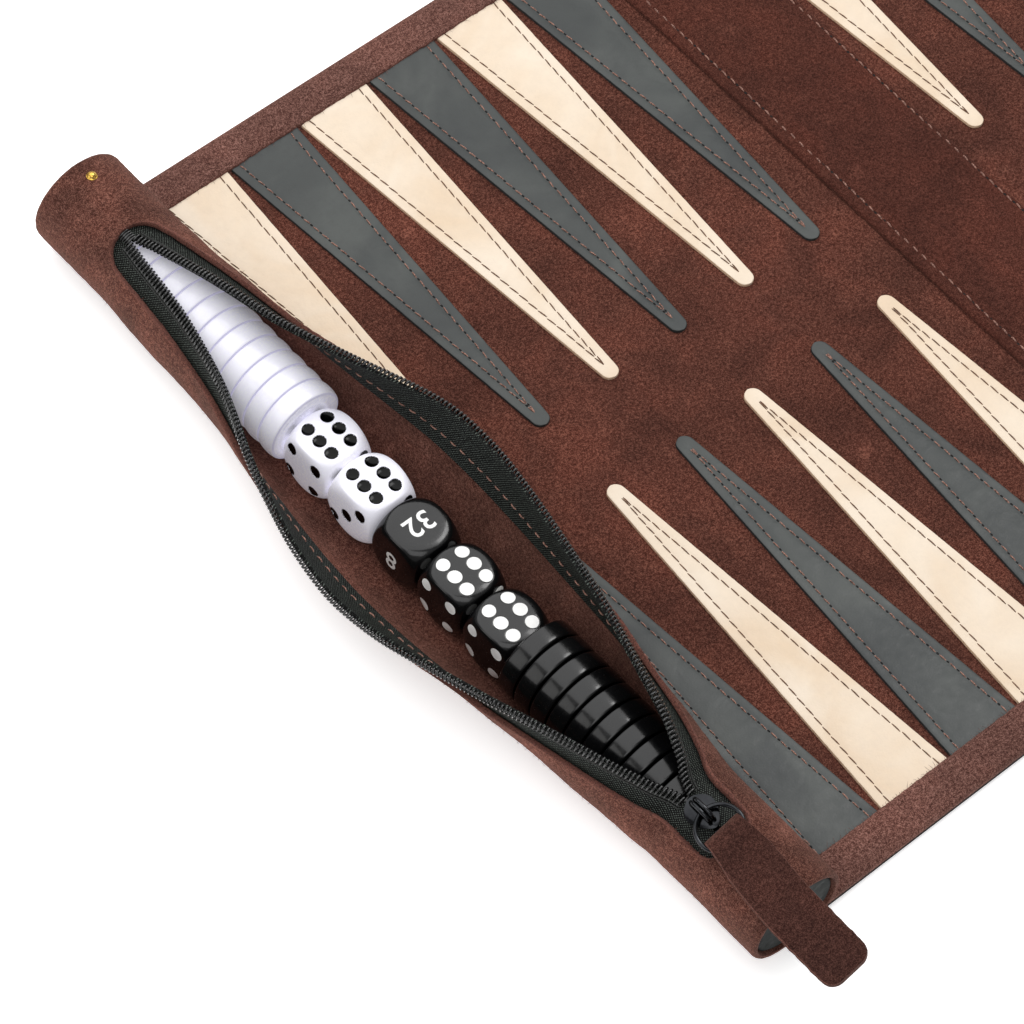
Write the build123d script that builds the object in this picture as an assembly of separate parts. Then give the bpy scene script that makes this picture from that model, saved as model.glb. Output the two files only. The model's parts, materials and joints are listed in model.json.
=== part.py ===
"""Roll-up travel backgammon set: a suede board that rolls round a zipped suede pouch.

Frame: millimetres, +Z up.  The origin is on the surface the set lies on, under the middle of
the board's centre bar.  X runs along the board, away from the pouch.  Y runs along the pouch.
"""
from build123d import *
import math
import os

# ---------------------------------------------------------------- driving dimensions
# board
COLUMNS = 12
PITCH = 21.3
BAR_WIDTH = 33.0
BOARD_HALF_WIDTH = 119.5
HEM_WIDTH = 9.5
END_HEM_WIDTH = 11.0
LINING_THICKNESS = 0.9
SUEDE_THICKNESS = 1.4
HEM_THICKNESS = 1.6
BAR_PANEL_THICKNESS = 1.0

# leather points
POINT_BASE_WIDTH = 20.2
POINT_THICKNESS = 0.8
POINT_TIP_RADIUS = 2.3
POINT_TIP_Y = 10.75

# pouch
POUCH_X = -160.0
POUCH_WALL = 1.4
POUCH_OUTER_RADIUS = 12.5
POUCH_HALF_LENGTH = 121.0
SEAM_LEAN = 19.0
MOUTH_FAR_Y = 99.0
MOUTH_NEAR_Y = -100.0
BASE_ARC = 18.0
TONGUE_EDGE_X = -146.6
END_DISC_THICKNESS = 1.6
FAR_DISC_Y = 118.2
NEAR_DISC_Y = -118.4
BODY_GAP = 0.3

# how far each lip is folded open, from 0 (zipped) to 1 (flat out): (y, left, right)
LIP_OPENING = [
    (MOUTH_NEAR_Y, 0.0, 0.0),
    (-90.0, 0.0, 0.0),
    (-75.0, 0.25, 0.33),
    (-45.0, 0.60, 0.65),
    (-15.0, 0.89, 0.87),
    (0.0, 0.95, 0.96),
    (15.0, 0.87, 0.95),
    (35.0, 0.65, 0.72),
    (55.0, 0.33, 0.42),
    (75.0, 0.13, 0.27),
    (MOUTH_FAR_Y, 0.0, 0.0),
]
LEFT_LEAN = 37.0
RIGHT_LEAN = 76.0
FLOOR_HALF_WIDTH = 5.0
LEAN_ARC = 12.0
ARC_STEP = 0.4

# end rivet
RIVET_Y = 115.8
RIVET_SHANK_RADIUS = 0.75
RIVET_HEAD_RADIUS = 1.7
RIVET_HEAD_HEIGHT = 1.0

# zip
TAPE_WIDTH = 12.0
TAPE_THICKNESS = 0.5
TAPE_GAP = 0.2
SUEDE_SETBACK = 4.5
TEETH_WIDTH = 1.6
TEETH_OVER_TAPE = 0.15
TEETH_INNER_OFFSET = -1.25
TEETH_OUTER_OFFSET = 0.6
TEETH_NEAR_Y = -88.9
TEETH_FAR_Y = 97.2
SLIDER_Y = -94.0
SLIDER_LENGTH = 9.0
SLIDER_LOWER_WIDTH = 3.8
SLIDER_UPPER_WIDTH = 7.2
SLIDER_LOWER = (9.60, 10.05)
SLIDER_UPPER = (12.70, 13.50)
SLIDER_CORNER_RADIUS = 1.6
DIVIDER_WIDTH = 1.2
DIVIDER_LENGTH = 1.6
DIVIDER_INSET = 1.0
BRIDGE_WIDTH = 2.0
BRIDGE_LENGTH = 6.0
BRIDGE_OVER_RING = 2.0
BRIDGE_CORNER_RADIUS = 0.5
SLOT_LENGTH = 2.4
SLOT_HEIGHT = 2.0
STOP_WIDTH = 3.2
FAR_STOP_LENGTH = 1.6
NEAR_STOP_LENGTH = 1.2
STOP_RADII = (11.2, 12.4)

# pull
RING_RADIUS = 5.6
RING_WIRE = 1.3
RING_HEIGHT = 14.9
TAB_LENGTH = 42.5
TAB_RING_WIDTH = 9.5
TAB_END_WIDTH = 12.0
TAB_THICKNESS = 2.4
TAB_BOTTOM = 12.85
TAB_WIRE_GAP = 0.4
TAB_NECK_WIDTH = 3.8
TAB_NECK_LENGTH = 2.6
TAB_EYE_RADIUS = 1.0
TAB_TAPER_LENGTH = 8.0
TAB_CORNER_RADIUS = 2.5

# playing pieces
DIE_SIZE = 15.0
DIE_ROUNDING = 10.1
DIE_PITCH = 15.2
FIRST_DIE_Y = 32.1
DIE_CENTRE_Z = 9.9
PIP_RADIUS = 1.35
PIP_DEPTH = 0.35
PIP_STEP = 4.05
PIP_CENTRES = {
    1: [(0, 0)],
    2: [(-1, -1), (1, 1)],
    3: [(-1, -1), (0, 0), (1, 1)],
    4: [(-1, -1), (-1, 1), (1, -1), (1, 1)],
    5: [(-1, -1), (-1, 1), (0, 0), (1, -1), (1, 1)],
    6: [(-0.7, -1), (-0.7, 0), (-0.7, 1), (0.7, -1), (0.7, 0), (0.7, 1)],
}
# turn of each face from +Z, for a die with six on top
FACE_TURNS = {6: (0, 0), 1: (180, 0), 4: (0, -90), 3: (0, 90), 2: (90, 0), 5: (-90, 0)}
CHECKER_RADIUS = 10.15
CHECKER_THICKNESS = 5.0
CHECKER_PITCH = 5.1
CHECKER_EDGE_RADIUS = 0.8
CHECKER_DISH_RADIUS = 7.2
CHECKER_DISH_DEPTH = 0.3
CHECKERS_PER_SIDE = 15
LOOSE_CHECKERS = 7
CHECKER_CENTRE_Z = 11.75

# ---------------------------------------------------------------- derived sizes
SUEDE_TOP = LINING_THICKNESS + SUEDE_THICKNESS
HEM_TOP = SUEDE_TOP + HEM_THICKNESS
POINT_BASE_Y = BOARD_HALF_WIDTH - HEM_WIDTH
HALF_BOARD = COLUMNS / 2 * PITCH + BAR_WIDTH / 2
POUCH_Z = POUCH_OUTER_RADIUS
POUCH_MID_RADIUS = POUCH_OUTER_RADIUS - POUCH_WALL / 2
POUCH_INNER_RADIUS = POUCH_OUTER_RADIUS - POUCH_WALL
GIRTH = 2 * math.pi * POUCH_MID_RADIUS
LEFT = -1
RIGHT = 1
LIP_LENGTH = {
    LEFT: GIRTH * (180 - SEAM_LEAN) / 360,
    RIGHT: GIRTH * (180 + SEAM_LEAN) / 360,
}
LIP_LEAN = {LEFT: math.radians(LEFT_LEAN), RIGHT: math.radians(RIGHT_LEAN)}

os.makedirs("parts", exist_ok=True)


def save(name, *solids):
    """Write one sub-part: a single solid, or a group of separate solids."""
    kept = []
    for item in solids:
        kept.extend(item.solids())
    shape = kept[0] if len(kept) == 1 else Compound(children=kept)
    export_step(shape, f"parts/{name}.step")


def block(x, y, z):
    """A box given by its (low, high) limits on each axis."""
    size = Box(x[1] - x[0], y[1] - y[0], z[1] - z[0])
    return Pos((x[0] + x[1]) / 2, (y[0] + y[1]) / 2, (z[0] + z[1]) / 2) * size


# ---------------------------------------------------------------- board
def column_edge(column):
    """X of a point column's edge nearer the pouch; columns count from 1."""
    past_bar = BAR_WIDTH if column > COLUMNS / 2 else 0.0
    return -HALF_BOARD + (column - 1) * PITCH + past_bar


def mat_strip(x_low, x_high, end_hem=0.0):
    """Lining, suede and the two folded hems of one strip of the board."""
    full = (-BOARD_HALF_WIDTH, BOARD_HALF_WIDTH)
    lining = block((x_low, x_high + end_hem), full, (0, LINING_THICKNESS))
    suede = block((x_low, x_high + end_hem), full, (LINING_THICKNESS, SUEDE_TOP))
    far_hem = block((x_low, x_high), (POINT_BASE_Y, BOARD_HALF_WIDTH), (SUEDE_TOP, HEM_TOP))
    near_hem = block((x_low, x_high), (-BOARD_HALF_WIDTH, -POINT_BASE_Y), (SUEDE_TOP, HEM_TOP))
    layers = [lining, suede, far_hem, near_hem]
    if end_hem:
        layers.append(block((x_high, x_high + end_hem), full, (SUEDE_TOP, HEM_TOP)))
    return layers


def leather_point(x_centre, side):
    """One leather point; side is 1 for the far hem and -1 for the near hem."""
    length = POINT_BASE_Y - POINT_TIP_Y - POINT_TIP_RADIUS
    half_base = POINT_BASE_WIDTH / 2
    reach = math.hypot(half_base, length)
    turn = math.asin(POINT_TIP_RADIUS / reach) - math.atan2(half_base, length)
    touch_x = POINT_TIP_RADIUS * math.cos(turn)
    touch_y = POINT_TIP_RADIUS * math.sin(turn)
    sides = Polyline((-touch_x, touch_y), (-half_base, length), (half_base, length), (touch_x, touch_y))
    tip = ThreePointArc((touch_x, touch_y), (0, -POINT_TIP_RADIUS), (-touch_x, touch_y))
    flat = extrude(make_face(sides + tip), POINT_THICKNESS)
    if side < 0:
        flat = Rot(0, 0, 180) * flat
    y_tip_centre = side * (POINT_TIP_Y + POINT_TIP_RADIUS)
    return Pos(x_centre, y_tip_centre, SUEDE_TOP) * flat


def make_board():
    for column in range(1, COLUMNS + 1):
        x_low = column_edge(column)
        start = TONGUE_EDGE_X if column == 1 else x_low
        end_hem = END_HEM_WIDTH if column == COLUMNS else 0.0
        save(f"mat_strip_{column:02d}", *mat_strip(start, x_low + PITCH, end_hem))
        middle = x_low + PITCH / 2
        save(f"points_{column:02d}", leather_point(middle, 1), leather_point(middle, -1))
    bar = mat_strip(-BAR_WIDTH / 2, BAR_WIDTH / 2)
    panel_y = (-POINT_BASE_Y, POINT_BASE_Y)
    panel_z = (SUEDE_TOP, SUEDE_TOP + BAR_PANEL_THICKNESS)
    bar.append(block((-BAR_WIDTH / 2, BAR_WIDTH / 2), panel_y, panel_z))
    save("mat_bar_strip", *bar)


# ---------------------------------------------------------------- pouch sections
def ease(value):
    value = min(max(value, 0.0), 1.0)
    return value * value * (3 - 2 * value)


def lip_opening(y, side):
    """Opening of one lip at y, read between the listed stations."""
    column = 1 if side == LEFT else 2
    for low, high in zip(LIP_OPENING, LIP_OPENING[1:]):
        if low[0] <= y <= high[0]:
            share = (y - low[0]) / (high[0] - low[0])
            return low[column] + share * (high[column] - low[column])
    return 0.0


def wall_point(side, along, offset, y):
    """(x, z) on the pouch wall, `along` mm up from the bottom and `offset` mm outside its middle."""
    opening = lip_opening(y, side)
    steps = max(int(along / ARC_STEP), 1)
    step = along / steps
    x = 0.0
    z = 0.0
    for index in range(steps):
        u = (index + 0.5) * step
        angle = wall_angle(side, u, opening)
        x += math.cos(angle) * step
        z += math.sin(angle) * step
    angle = wall_angle(side, along, opening)
    x += math.sin(angle) * offset
    z -= math.cos(angle) * offset
    return POUCH_X + side * x, POUCH_Z - POUCH_MID_RADIUS + z


def wall_angle(side, along, opening):
    """Slope of the wall: a circle when zipped, a leaning plank when open."""
    closed = along / POUCH_MID_RADIUS
    leaning = LIP_LEAN[side] * ease((along - FLOOR_HALF_WIDTH) / LEAN_ARC)
    return (1 - opening) * closed + opening * leaning


def stations(low, high):
    inside = [row[0] for row in LIP_OPENING if low < row[0] < high]
    return [low] + inside + [high]


def band(side, along, offsets, y_range, pieces):
    """A strip of the wall between two arc lengths and two offsets, along the pouch."""
    sections = []
    for y in stations(*y_range):
        arcs = [along[0] + (along[1] - along[0]) * i / pieces for i in range(pieces + 1)]
        outer = [wall_point(side, u, offsets[1], y) for u in arcs]
        inner = [wall_point(side, u, offsets[0], y) for u in reversed(arcs)]
        corners = [(x, y, z) for x, z in outer + inner]
        sections.append(make_face(Polyline(*corners, close=True)))
    return loft(sections, ruled=True)


def gutter():
    """The bottom third of the pouch between its two closed ends."""
    half = POUCH_WALL / 2
    pieces = 6
    sections = []
    for y in stations(MOUTH_NEAR_Y, MOUTH_FAR_Y):
        arcs = [BASE_ARC * i / pieces for i in range(pieces + 1)]
        left_out = [wall_point(LEFT, u, half, y) for u in reversed(arcs)]
        right_out = [wall_point(RIGHT, u, half, y) for u in arcs[1:]]
        right_in = [wall_point(RIGHT, u, -half, y) for u in reversed(arcs)]
        left_in = [wall_point(LEFT, u, -half, y) for u in arcs[1:]]
        ring = left_out + right_out + right_in + left_in
        sections.append(make_face(Polyline(*[(x, y, z) for x, z in ring], close=True)))
    return loft(sections, ruled=True)


def sleeve(y_low, y_high):
    """A closed end of the pouch: a plain tube along Y."""
    length = y_high - y_low
    tube = Cylinder(POUCH_OUTER_RADIUS, length) - Cylinder(POUCH_INNER_RADIUS, length)
    return Pos(POUCH_X, (y_low + y_high) / 2, POUCH_Z) * Rot(90, 0, 0) * tube


def seam_frame(shape):
    """Place a shape built over the pouch axis so that its +Z points at the zip seam."""
    return Pos(POUCH_X, 0, POUCH_Z) * Rot(0, -SEAM_LEAN, 0) * shape


def make_pouch():
    half = POUCH_WALL / 2
    tongue = block((POUCH_X, TONGUE_EDGE_X), (-BOARD_HALF_WIDTH, BOARD_HALF_WIDTH), (0, LINING_THICKNESS))
    shank = Cylinder(RIVET_SHANK_RADIUS, 3 * POUCH_WALL)
    shank_hole = Pos(POUCH_X, RIVET_Y, POUCH_Z + POUCH_MID_RADIUS) * shank
    base = gutter() + sleeve(-POUCH_HALF_LENGTH, MOUTH_NEAR_Y) + sleeve(MOUTH_FAR_Y, POUCH_HALF_LENGTH)
    bore = Cylinder(POUCH_INNER_RADIUS, 3 * POUCH_HALF_LENGTH)
    tongue -= Pos(POUCH_X, 0, POUCH_Z) * Rot(90, 0, 0) * bore
    save("pouch_base", base + tongue - shank_hole)

    mouth = (MOUTH_NEAR_Y + BODY_GAP, MOUTH_FAR_Y - BODY_GAP)
    teeth_y = (TEETH_NEAR_Y, TEETH_FAR_Y)
    tape_offsets = (-half - TAPE_GAP - TAPE_THICKNESS, -half - TAPE_GAP)
    for side, name in ((LEFT, "left"), (RIGHT, "right")):
        rim = LIP_LENGTH[side] - TEETH_OVER_TAPE
        wall = (BASE_ARC + BODY_GAP, rim - SUEDE_SETBACK)
        tape = (rim - TAPE_WIDTH, rim - TEETH_WIDTH)
        teeth = (rim - TEETH_WIDTH, rim)
        save(f"pouch_wall_{name}", band(side, wall, (-half, half), mouth, 6))
        save(f"zip_tape_{name}", band(side, tape, tape_offsets, mouth, 4))
        teeth_offsets = (TEETH_INNER_OFFSET, TEETH_OUTER_OFFSET)
        save(f"zip_teeth_{name}", band(side, teeth, teeth_offsets, teeth_y, 1))

    disc = Rot(90, 0, 0) * Cylinder(POUCH_INNER_RADIUS, END_DISC_THICKNESS)
    for name, y_low in (("far_end_disc", FAR_DISC_Y), ("near_end_disc", NEAR_DISC_Y)):
        save(name, Pos(POUCH_X, y_low + END_DISC_THICKNESS / 2, POUCH_Z) * disc)

    shank = Pos(0, 0, -POUCH_WALL / 2) * Cylinder(RIVET_SHANK_RADIUS, POUCH_WALL)
    crown_radius = (RIVET_HEAD_RADIUS ** 2 + RIVET_HEAD_HEIGHT ** 2) / (2 * RIVET_HEAD_HEIGHT)
    crown = Pos(0, 0, RIVET_HEAD_HEIGHT - crown_radius) * Sphere(crown_radius)
    head_width = 3 * RIVET_HEAD_RADIUS
    crown &= Pos(0, 0, RIVET_HEAD_HEIGHT / 2) * Box(head_width, head_width, RIVET_HEAD_HEIGHT)
    save("end_rivet", Pos(POUCH_X, RIVET_Y, 2 * POUCH_OUTER_RADIUS) * (shank + crown))


# ---------------------------------------------------------------- zip hardware
def slider_plate(width, heights):
    """One plate of the slider, between two heights over the pouch axis."""
    plate = Box(width, SLIDER_LENGTH, heights[1] - heights[0])
    plate = fillet(plate.edges().filter_by(Axis.Z), SLIDER_CORNER_RADIUS)
    return Pos(0, SLIDER_Y, (heights[0] + heights[1]) / 2) * plate


def centred_block(width, length, y_mid, heights):
    """A box centred on the seam and on y_mid, between two heights over the pouch axis."""
    return block((-width / 2, width / 2), (y_mid - length / 2, y_mid + length / 2), heights)


def make_zip_hardware():
    plates = slider_plate(SLIDER_LOWER_WIDTH, SLIDER_LOWER) + slider_plate(SLIDER_UPPER_WIDTH, SLIDER_UPPER)
    divider_y = SLIDER_Y + SLIDER_LENGTH / 2 - DIVIDER_INSET - DIVIDER_LENGTH / 2
    divider_heights = (SLIDER_LOWER[0], SLIDER_UPPER[1])
    divider = centred_block(DIVIDER_WIDTH, DIVIDER_LENGTH, divider_y, divider_heights)
    bridge_heights = (SLIDER_UPPER[0], RING_HEIGHT + BRIDGE_OVER_RING)
    bridge = centred_block(BRIDGE_WIDTH, BRIDGE_LENGTH, SLIDER_Y, bridge_heights)
    bridge = fillet(bridge.edges().filter_by(Axis.X), BRIDGE_CORNER_RADIUS)
    slot_heights = (RING_HEIGHT - SLOT_HEIGHT / 2, RING_HEIGHT + SLOT_HEIGHT / 2)
    slot = centred_block(2 * BRIDGE_WIDTH, SLOT_LENGTH, SLIDER_Y, slot_heights)
    save("zip_slider", seam_frame(plates + divider + bridge - slot))

    ring_y = SLIDER_Y - RING_RADIUS
    ring = Pos(0, ring_y, RING_HEIGHT) * Torus(RING_RADIUS, RING_WIRE / 2)
    save("pull_ring", seam_frame(ring))
    save("pull_tab", seam_frame(pull_tab(ring_y - RING_RADIUS)))

    far_y = MOUTH_FAR_Y - FAR_STOP_LENGTH / 2
    near_y = MOUTH_NEAR_Y + NEAR_STOP_LENGTH / 2
    far = centred_block(STOP_WIDTH, FAR_STOP_LENGTH, far_y, STOP_RADII)
    near = centred_block(STOP_WIDTH, NEAR_STOP_LENGTH, near_y, STOP_RADII)
    save("zip_stops", seam_frame(far), seam_frame(near))


def pull_tab(eye_y):
    """A flat strap whose narrow looped end turns on the ring's wire at eye_y."""
    loop_radius = RING_HEIGHT - TAB_BOTTOM
    wide_y = eye_y - RING_WIRE / 2 - TAB_WIRE_GAP
    end_y = eye_y + RING_RADIUS - TAB_LENGTH
    half_ring = TAB_RING_WIDTH / 2
    half_end = TAB_END_WIDTH / 2
    top_view = Polyline(
        (-half_ring, wide_y),
        (half_ring, wide_y),
        (half_end, wide_y - TAB_TAPER_LENGTH),
        (half_end, end_y),
        (-half_end, end_y),
        (-half_end, wide_y - TAB_TAPER_LENGTH),
        close=True,
    )
    strap = extrude(make_face(top_view), TAB_THICKNESS)
    end_corners = strap.edges().filter_by(Axis.Z).group_by(Axis.Y)[0]
    strap = Pos(0, 0, TAB_BOTTOM) * fillet(end_corners, TAB_CORNER_RADIUS)
    half_neck = TAB_NECK_WIDTH / 2
    neck_y = (wide_y - TAB_NECK_LENGTH, eye_y - TAB_EYE_RADIUS)
    neck = block((-half_neck, half_neck), neck_y, (TAB_BOTTOM, TAB_BOTTOM + TAB_THICKNESS))
    across = Pos(0, eye_y, RING_HEIGHT) * Rot(0, 90, 0)
    loop = across * Cylinder(loop_radius, TAB_NECK_WIDTH)
    eye = across * Cylinder(TAB_EYE_RADIUS, 2 * TAB_NECK_WIDTH)
    return strap + neck + loop - eye


# ---------------------------------------------------------------- playing pieces
def rounded_cube():
    return Box(DIE_SIZE, DIE_SIZE, DIE_SIZE) & Sphere(DIE_ROUNDING)


def die(left_face):
    """A pipped die, six up; left_face is the number on its -X side."""
    turns = dict(FACE_TURNS)
    if left_face != 4:
        turns[3], turns[4] = turns[4], turns[3]
    shape = rounded_cube()
    pips = []
    for number, (turn_x, turn_y) in turns.items():
        for x, y in PIP_CENTRES[number]:
            pip = Pos(x * PIP_STEP, y * PIP_STEP, DIE_SIZE / 2) * Cylinder(PIP_RADIUS, 2 * PIP_DEPTH)
            pips.append(Rot(turn_x, turn_y, 0) * pip)
    return shape - pips


def die_place(index):
    return Pos(POUCH_X, FIRST_DIE_Y - index * DIE_PITCH, DIE_CENTRE_Z)


def checker():
    disc = Cylinder(CHECKER_RADIUS, CHECKER_THICKNESS)
    disc = fillet(disc.edges(), CHECKER_EDGE_RADIUS)
    for z in (-CHECKER_THICKNESS / 2, CHECKER_THICKNESS / 2):
        disc -= Pos(0, 0, z) * Cylinder(CHECKER_DISH_RADIUS, 2 * CHECKER_DISH_DEPTH)
    return Rot(90, 0, 0) * disc


def make_playing_pieces():
    dice = [
        ("die_white_1", 4),
        ("die_white_2", 3),
        ("doubling_cube", 0),
        ("die_black_1", 4),
        ("die_black_2", 4),
    ]
    for index, (name, left_face) in enumerate(dice):
        shape = die(left_face) if left_face else rounded_cube()
        save(name, die_place(index) * shape)

    dice_end = DIE_PITCH - DIE_SIZE / 2
    white_start = FIRST_DIE_Y + dice_end
    black_start = FIRST_DIE_Y - (len(dice) - 1) * DIE_PITCH - dice_end
    for colour, start, direction in (("white", white_start, 1), ("black", black_start, -1)):
        discs = []
        for index in range(CHECKERS_PER_SIDE):
            y = start + direction * (index * CHECKER_PITCH + CHECKER_THICKNESS / 2)
            discs.append(Pos(POUCH_X, y, CHECKER_CENTRE_Z) * checker())
        for index in range(LOOSE_CHECKERS):
            save(f"checker_{colour}_{index + 1:02d}", discs[index])
        save(f"checkers_{colour}_rest", *discs[LOOSE_CHECKERS:])


make_board()
make_pouch()
make_zip_hardware()
make_playing_pieces()
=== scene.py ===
import json
import math
import random
from collections import namedtuple

import bmesh
import bpy
import numpy as np
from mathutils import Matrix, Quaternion, Vector, noise


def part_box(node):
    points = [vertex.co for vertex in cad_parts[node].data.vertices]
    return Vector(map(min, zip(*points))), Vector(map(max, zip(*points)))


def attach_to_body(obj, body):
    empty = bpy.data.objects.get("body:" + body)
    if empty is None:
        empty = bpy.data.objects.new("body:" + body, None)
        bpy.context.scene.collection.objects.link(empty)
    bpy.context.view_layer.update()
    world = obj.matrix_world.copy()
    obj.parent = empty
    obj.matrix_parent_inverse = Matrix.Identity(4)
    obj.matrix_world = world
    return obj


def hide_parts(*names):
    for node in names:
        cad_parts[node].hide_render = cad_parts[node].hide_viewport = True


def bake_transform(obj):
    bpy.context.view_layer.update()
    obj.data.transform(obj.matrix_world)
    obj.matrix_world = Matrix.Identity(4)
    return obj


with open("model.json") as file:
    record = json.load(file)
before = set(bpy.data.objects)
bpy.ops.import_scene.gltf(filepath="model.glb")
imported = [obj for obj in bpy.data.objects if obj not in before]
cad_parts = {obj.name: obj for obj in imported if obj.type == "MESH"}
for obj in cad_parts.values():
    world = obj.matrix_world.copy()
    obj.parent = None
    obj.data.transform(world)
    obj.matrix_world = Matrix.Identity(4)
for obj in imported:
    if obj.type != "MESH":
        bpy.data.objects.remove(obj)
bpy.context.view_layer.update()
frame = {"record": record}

# Looks of the roll-up backgammon set.  Lengths are in millimetres and become metres only in
# Shape.piece() and metres().  X runs along the board, away from the pouch; Y along the pouch.

MM = 0.001
chance = random.Random(7)

# ---------------------------------------------------------------- sizes
CAMERA_PLACE = (-608.7, -414.5, 941.0)
CAMERA_TARGET = (-132.93, -0.95, 0.0)
CAMERA_ROLL = 8.87
CAMERA_LENS = 177.24

STITCH_PERIOD = 3.0
STITCH_INSET = 2.4
# a stitch from hole to hole: (share of its length, lift and width as shares of its radius)
STITCH_SHAPE = ((0.0, -1.1, 0.5), (0.1, -0.1, 0.85), (0.3, 0.5, 1.0), (0.5, 0.6, 1.05),
                (0.7, 0.5, 1.0), (0.9, -0.1, 0.85), (1.0, -1.1, 0.5))
GROOVE_DEPTH = 0.14
GROOVE_WIDTH = 0.55

BAR_LEFT_EDGE = -14.4
BAR_RIGHT_EDGE = 18.3
BAR_STITCH_ROWS = (-11.2, 17.2)
HEM_EDGE_BANDS = (11, 12)
HEM_TURN = 12.0
# height of the bar's two halves over the suede, by the way each lies from the middle
BAR_RISE = {-1: 1.05, 1: 0.8}

SUEDE_WALL = 1.4
SUEDE_SETBACK = 6.9
SLOT_END_RADIUS = 5.4
POUCH_HAIRS = 420
TAPE_DEPTHS = np.array([12.0, 11.6, 10.5, 9.0, 7.5, 6.0, 4.8, 4.0, 3.5, 3.1, 2.6, 2.0, 1.2, 0.7])
TAPE_STITCH_INSET = 8.1
SEAM_LEAN = math.radians(19.0)
COIL_PITCH = 1.05
COIL_DEPTH = 0.85
# one loop of coil: (across the tape, out of it, along it, radius of the wire)
COIL_LOOP = ((-1.5, 0.0, 0.0, 0.2), (-0.9, 0.46, -0.04, 0.27), (0.0, 0.56, -0.1, 0.3),
             (0.62, 0.34, -0.06, 0.34), (0.8, -0.1, 0.0, 0.36), (0.6, -0.46, 0.06, 0.32),
             (-0.3, -0.6, 0.12, 0.28), (-1.5, -0.45, 0.2, 0.2))
STOP_COUNT = 6
STOP_PITCH = 0.65
STOP_RADIUS = 11.3
STOP_RADII = (0.15, 0.28, 0.33, 0.36, 0.36, 0.36, 0.33, 0.28, 0.15)

# how far each lip is folded open at stations along the pouch: (y, left, right)
LIP_OPENING = np.array([(-90.0, 0.0, 0.0), (-75.0, 0.25, 0.33), (-45.0, 0.60, 0.65),
                        (-15.0, 0.89, 0.87), (0.0, 0.95, 0.96), (15.0, 0.87, 0.95),
                        (35.0, 0.65, 0.66), (55.0, 0.33, 0.42), (75.0, 0.13, 0.27),
                        (99.0, 0.0, 0.0)])
LEFT = -1
RIGHT = 1
SIDE_NAMES = {LEFT: "left", RIGHT: "right"}
LIP_LEAN = {LEFT: math.radians(37.0), RIGHT: math.radians(69.0)}
FLOOR_HALF_WIDTH = 5.0
LEAN_ARC = 12.0
ARC_STEP = 0.2
ARC_REACH = 44.0

RIVET_RADIUS = 1.3
# the slider's plates as (underside, top, dome, inset), and the bridge over the upper one
SLIDER_PLATES = ((12.7, 13.4, 0.25, 0.0), (9.65, 10.2, -0.1, 0.2))
BRIDGE_WIRES = (-0.55, 0.55)
BRIDGE_HALF_LENGTH = 3.0
BRIDGE_FOOT = 13.3
BRIDGE_RISE = 3.3
RING_HEIGHT = 14.9
TAB_DRIFT = -1.7
TAB_CORNER = 3.2
# the tab's section: shares of its half width on top, and (share, level) round its sides and below
TAB_TOP = (-1, -0.97, -0.9, -0.7, -0.45, -0.2, 0.05, 0.3, 0.55, 0.8, 0.92, 0.98, 1)
TAB_UNDER = ((1.015, 0.45), (0.99, 0.0), (1.015, -0.45), (1, -0.93), (0.9, -0.93), (0.5, -0.93),
             (0, -0.93), (-0.5, -0.93), (-0.9, -0.93), (-1, -0.93), (-1.015, -0.45), (-0.99, 0.0),
             (-1.015, 0.45))
TAB_EDGE_BANDS = (12, 24)

# faces of the rounded rim edges where stacked checkers meet; they take a darker colour as painted shade
CHECKER_GROOVE_SHADE_BANDS = (7, 8, 9, 20, 21, 22)
CHECKER_BEVEL = 0.95
STACK_COUNT = 8
# thickness of a checker, and how far its rim bulges
WHITE_CHECKER = (5.0, 0.22)
BLACK_CHECKER = (4.9, 0.05)
DIE_ROUNDING = 10.1
DIE_EDGE_POWER = 17.0
DIE_CELLS = 60
PIP_RADIUS = 1.68
PIP_STEP = 4.05
PIP_RECESS = 0.5
PIP_BLUR = 0.35
PIP_RINGS = (1.0, 0.97, 0.9, 0.75, 0.5, 0.2)
PIP_SIDES = 28
NUMBER_SIZE = 7.2

UP = (0.0, 0.0, 1.0)
MAIN = 0
EDGE = 1
HEM = 2


def span(node):
    """Lowest and highest corner of a CAD node, in millimetres."""
    low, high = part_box(node)
    return np.array(low) / MM, np.array(high) / MM


def metres(point):
    return Vector(point) * MM


# sizes read from the frame
POINTS_LOW, POINTS_HIGH = span("points_02")
SUEDE_TOP = POINTS_LOW[2]
LEATHER_TOP = POINTS_HIGH[2]
POINT_BASE_Y = POINTS_HIGH[1]
POINT_HALF_BASE = (POINTS_HIGH[0] - POINTS_LOW[0]) / 2
POINT_TIP_RADIUS = 2.3
POINT_TIP_Y = 10.75
POINT_LENGTH = POINT_BASE_Y - POINT_TIP_Y
STRIP_HIGH = span("mat_strip_02")[1]
BOARD_HALF = STRIP_HIGH[1]
HEM_TOP = STRIP_HIGH[2]
LINING_TOP = 0.9
BOARD_START = span("mat_strip_01")[0][0] - 4.0
BOARD_END = span("mat_strip_12")[1][0]
END_HEM_WIDTH = BOARD_END - span("points_12")[1][0] - 0.55

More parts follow.
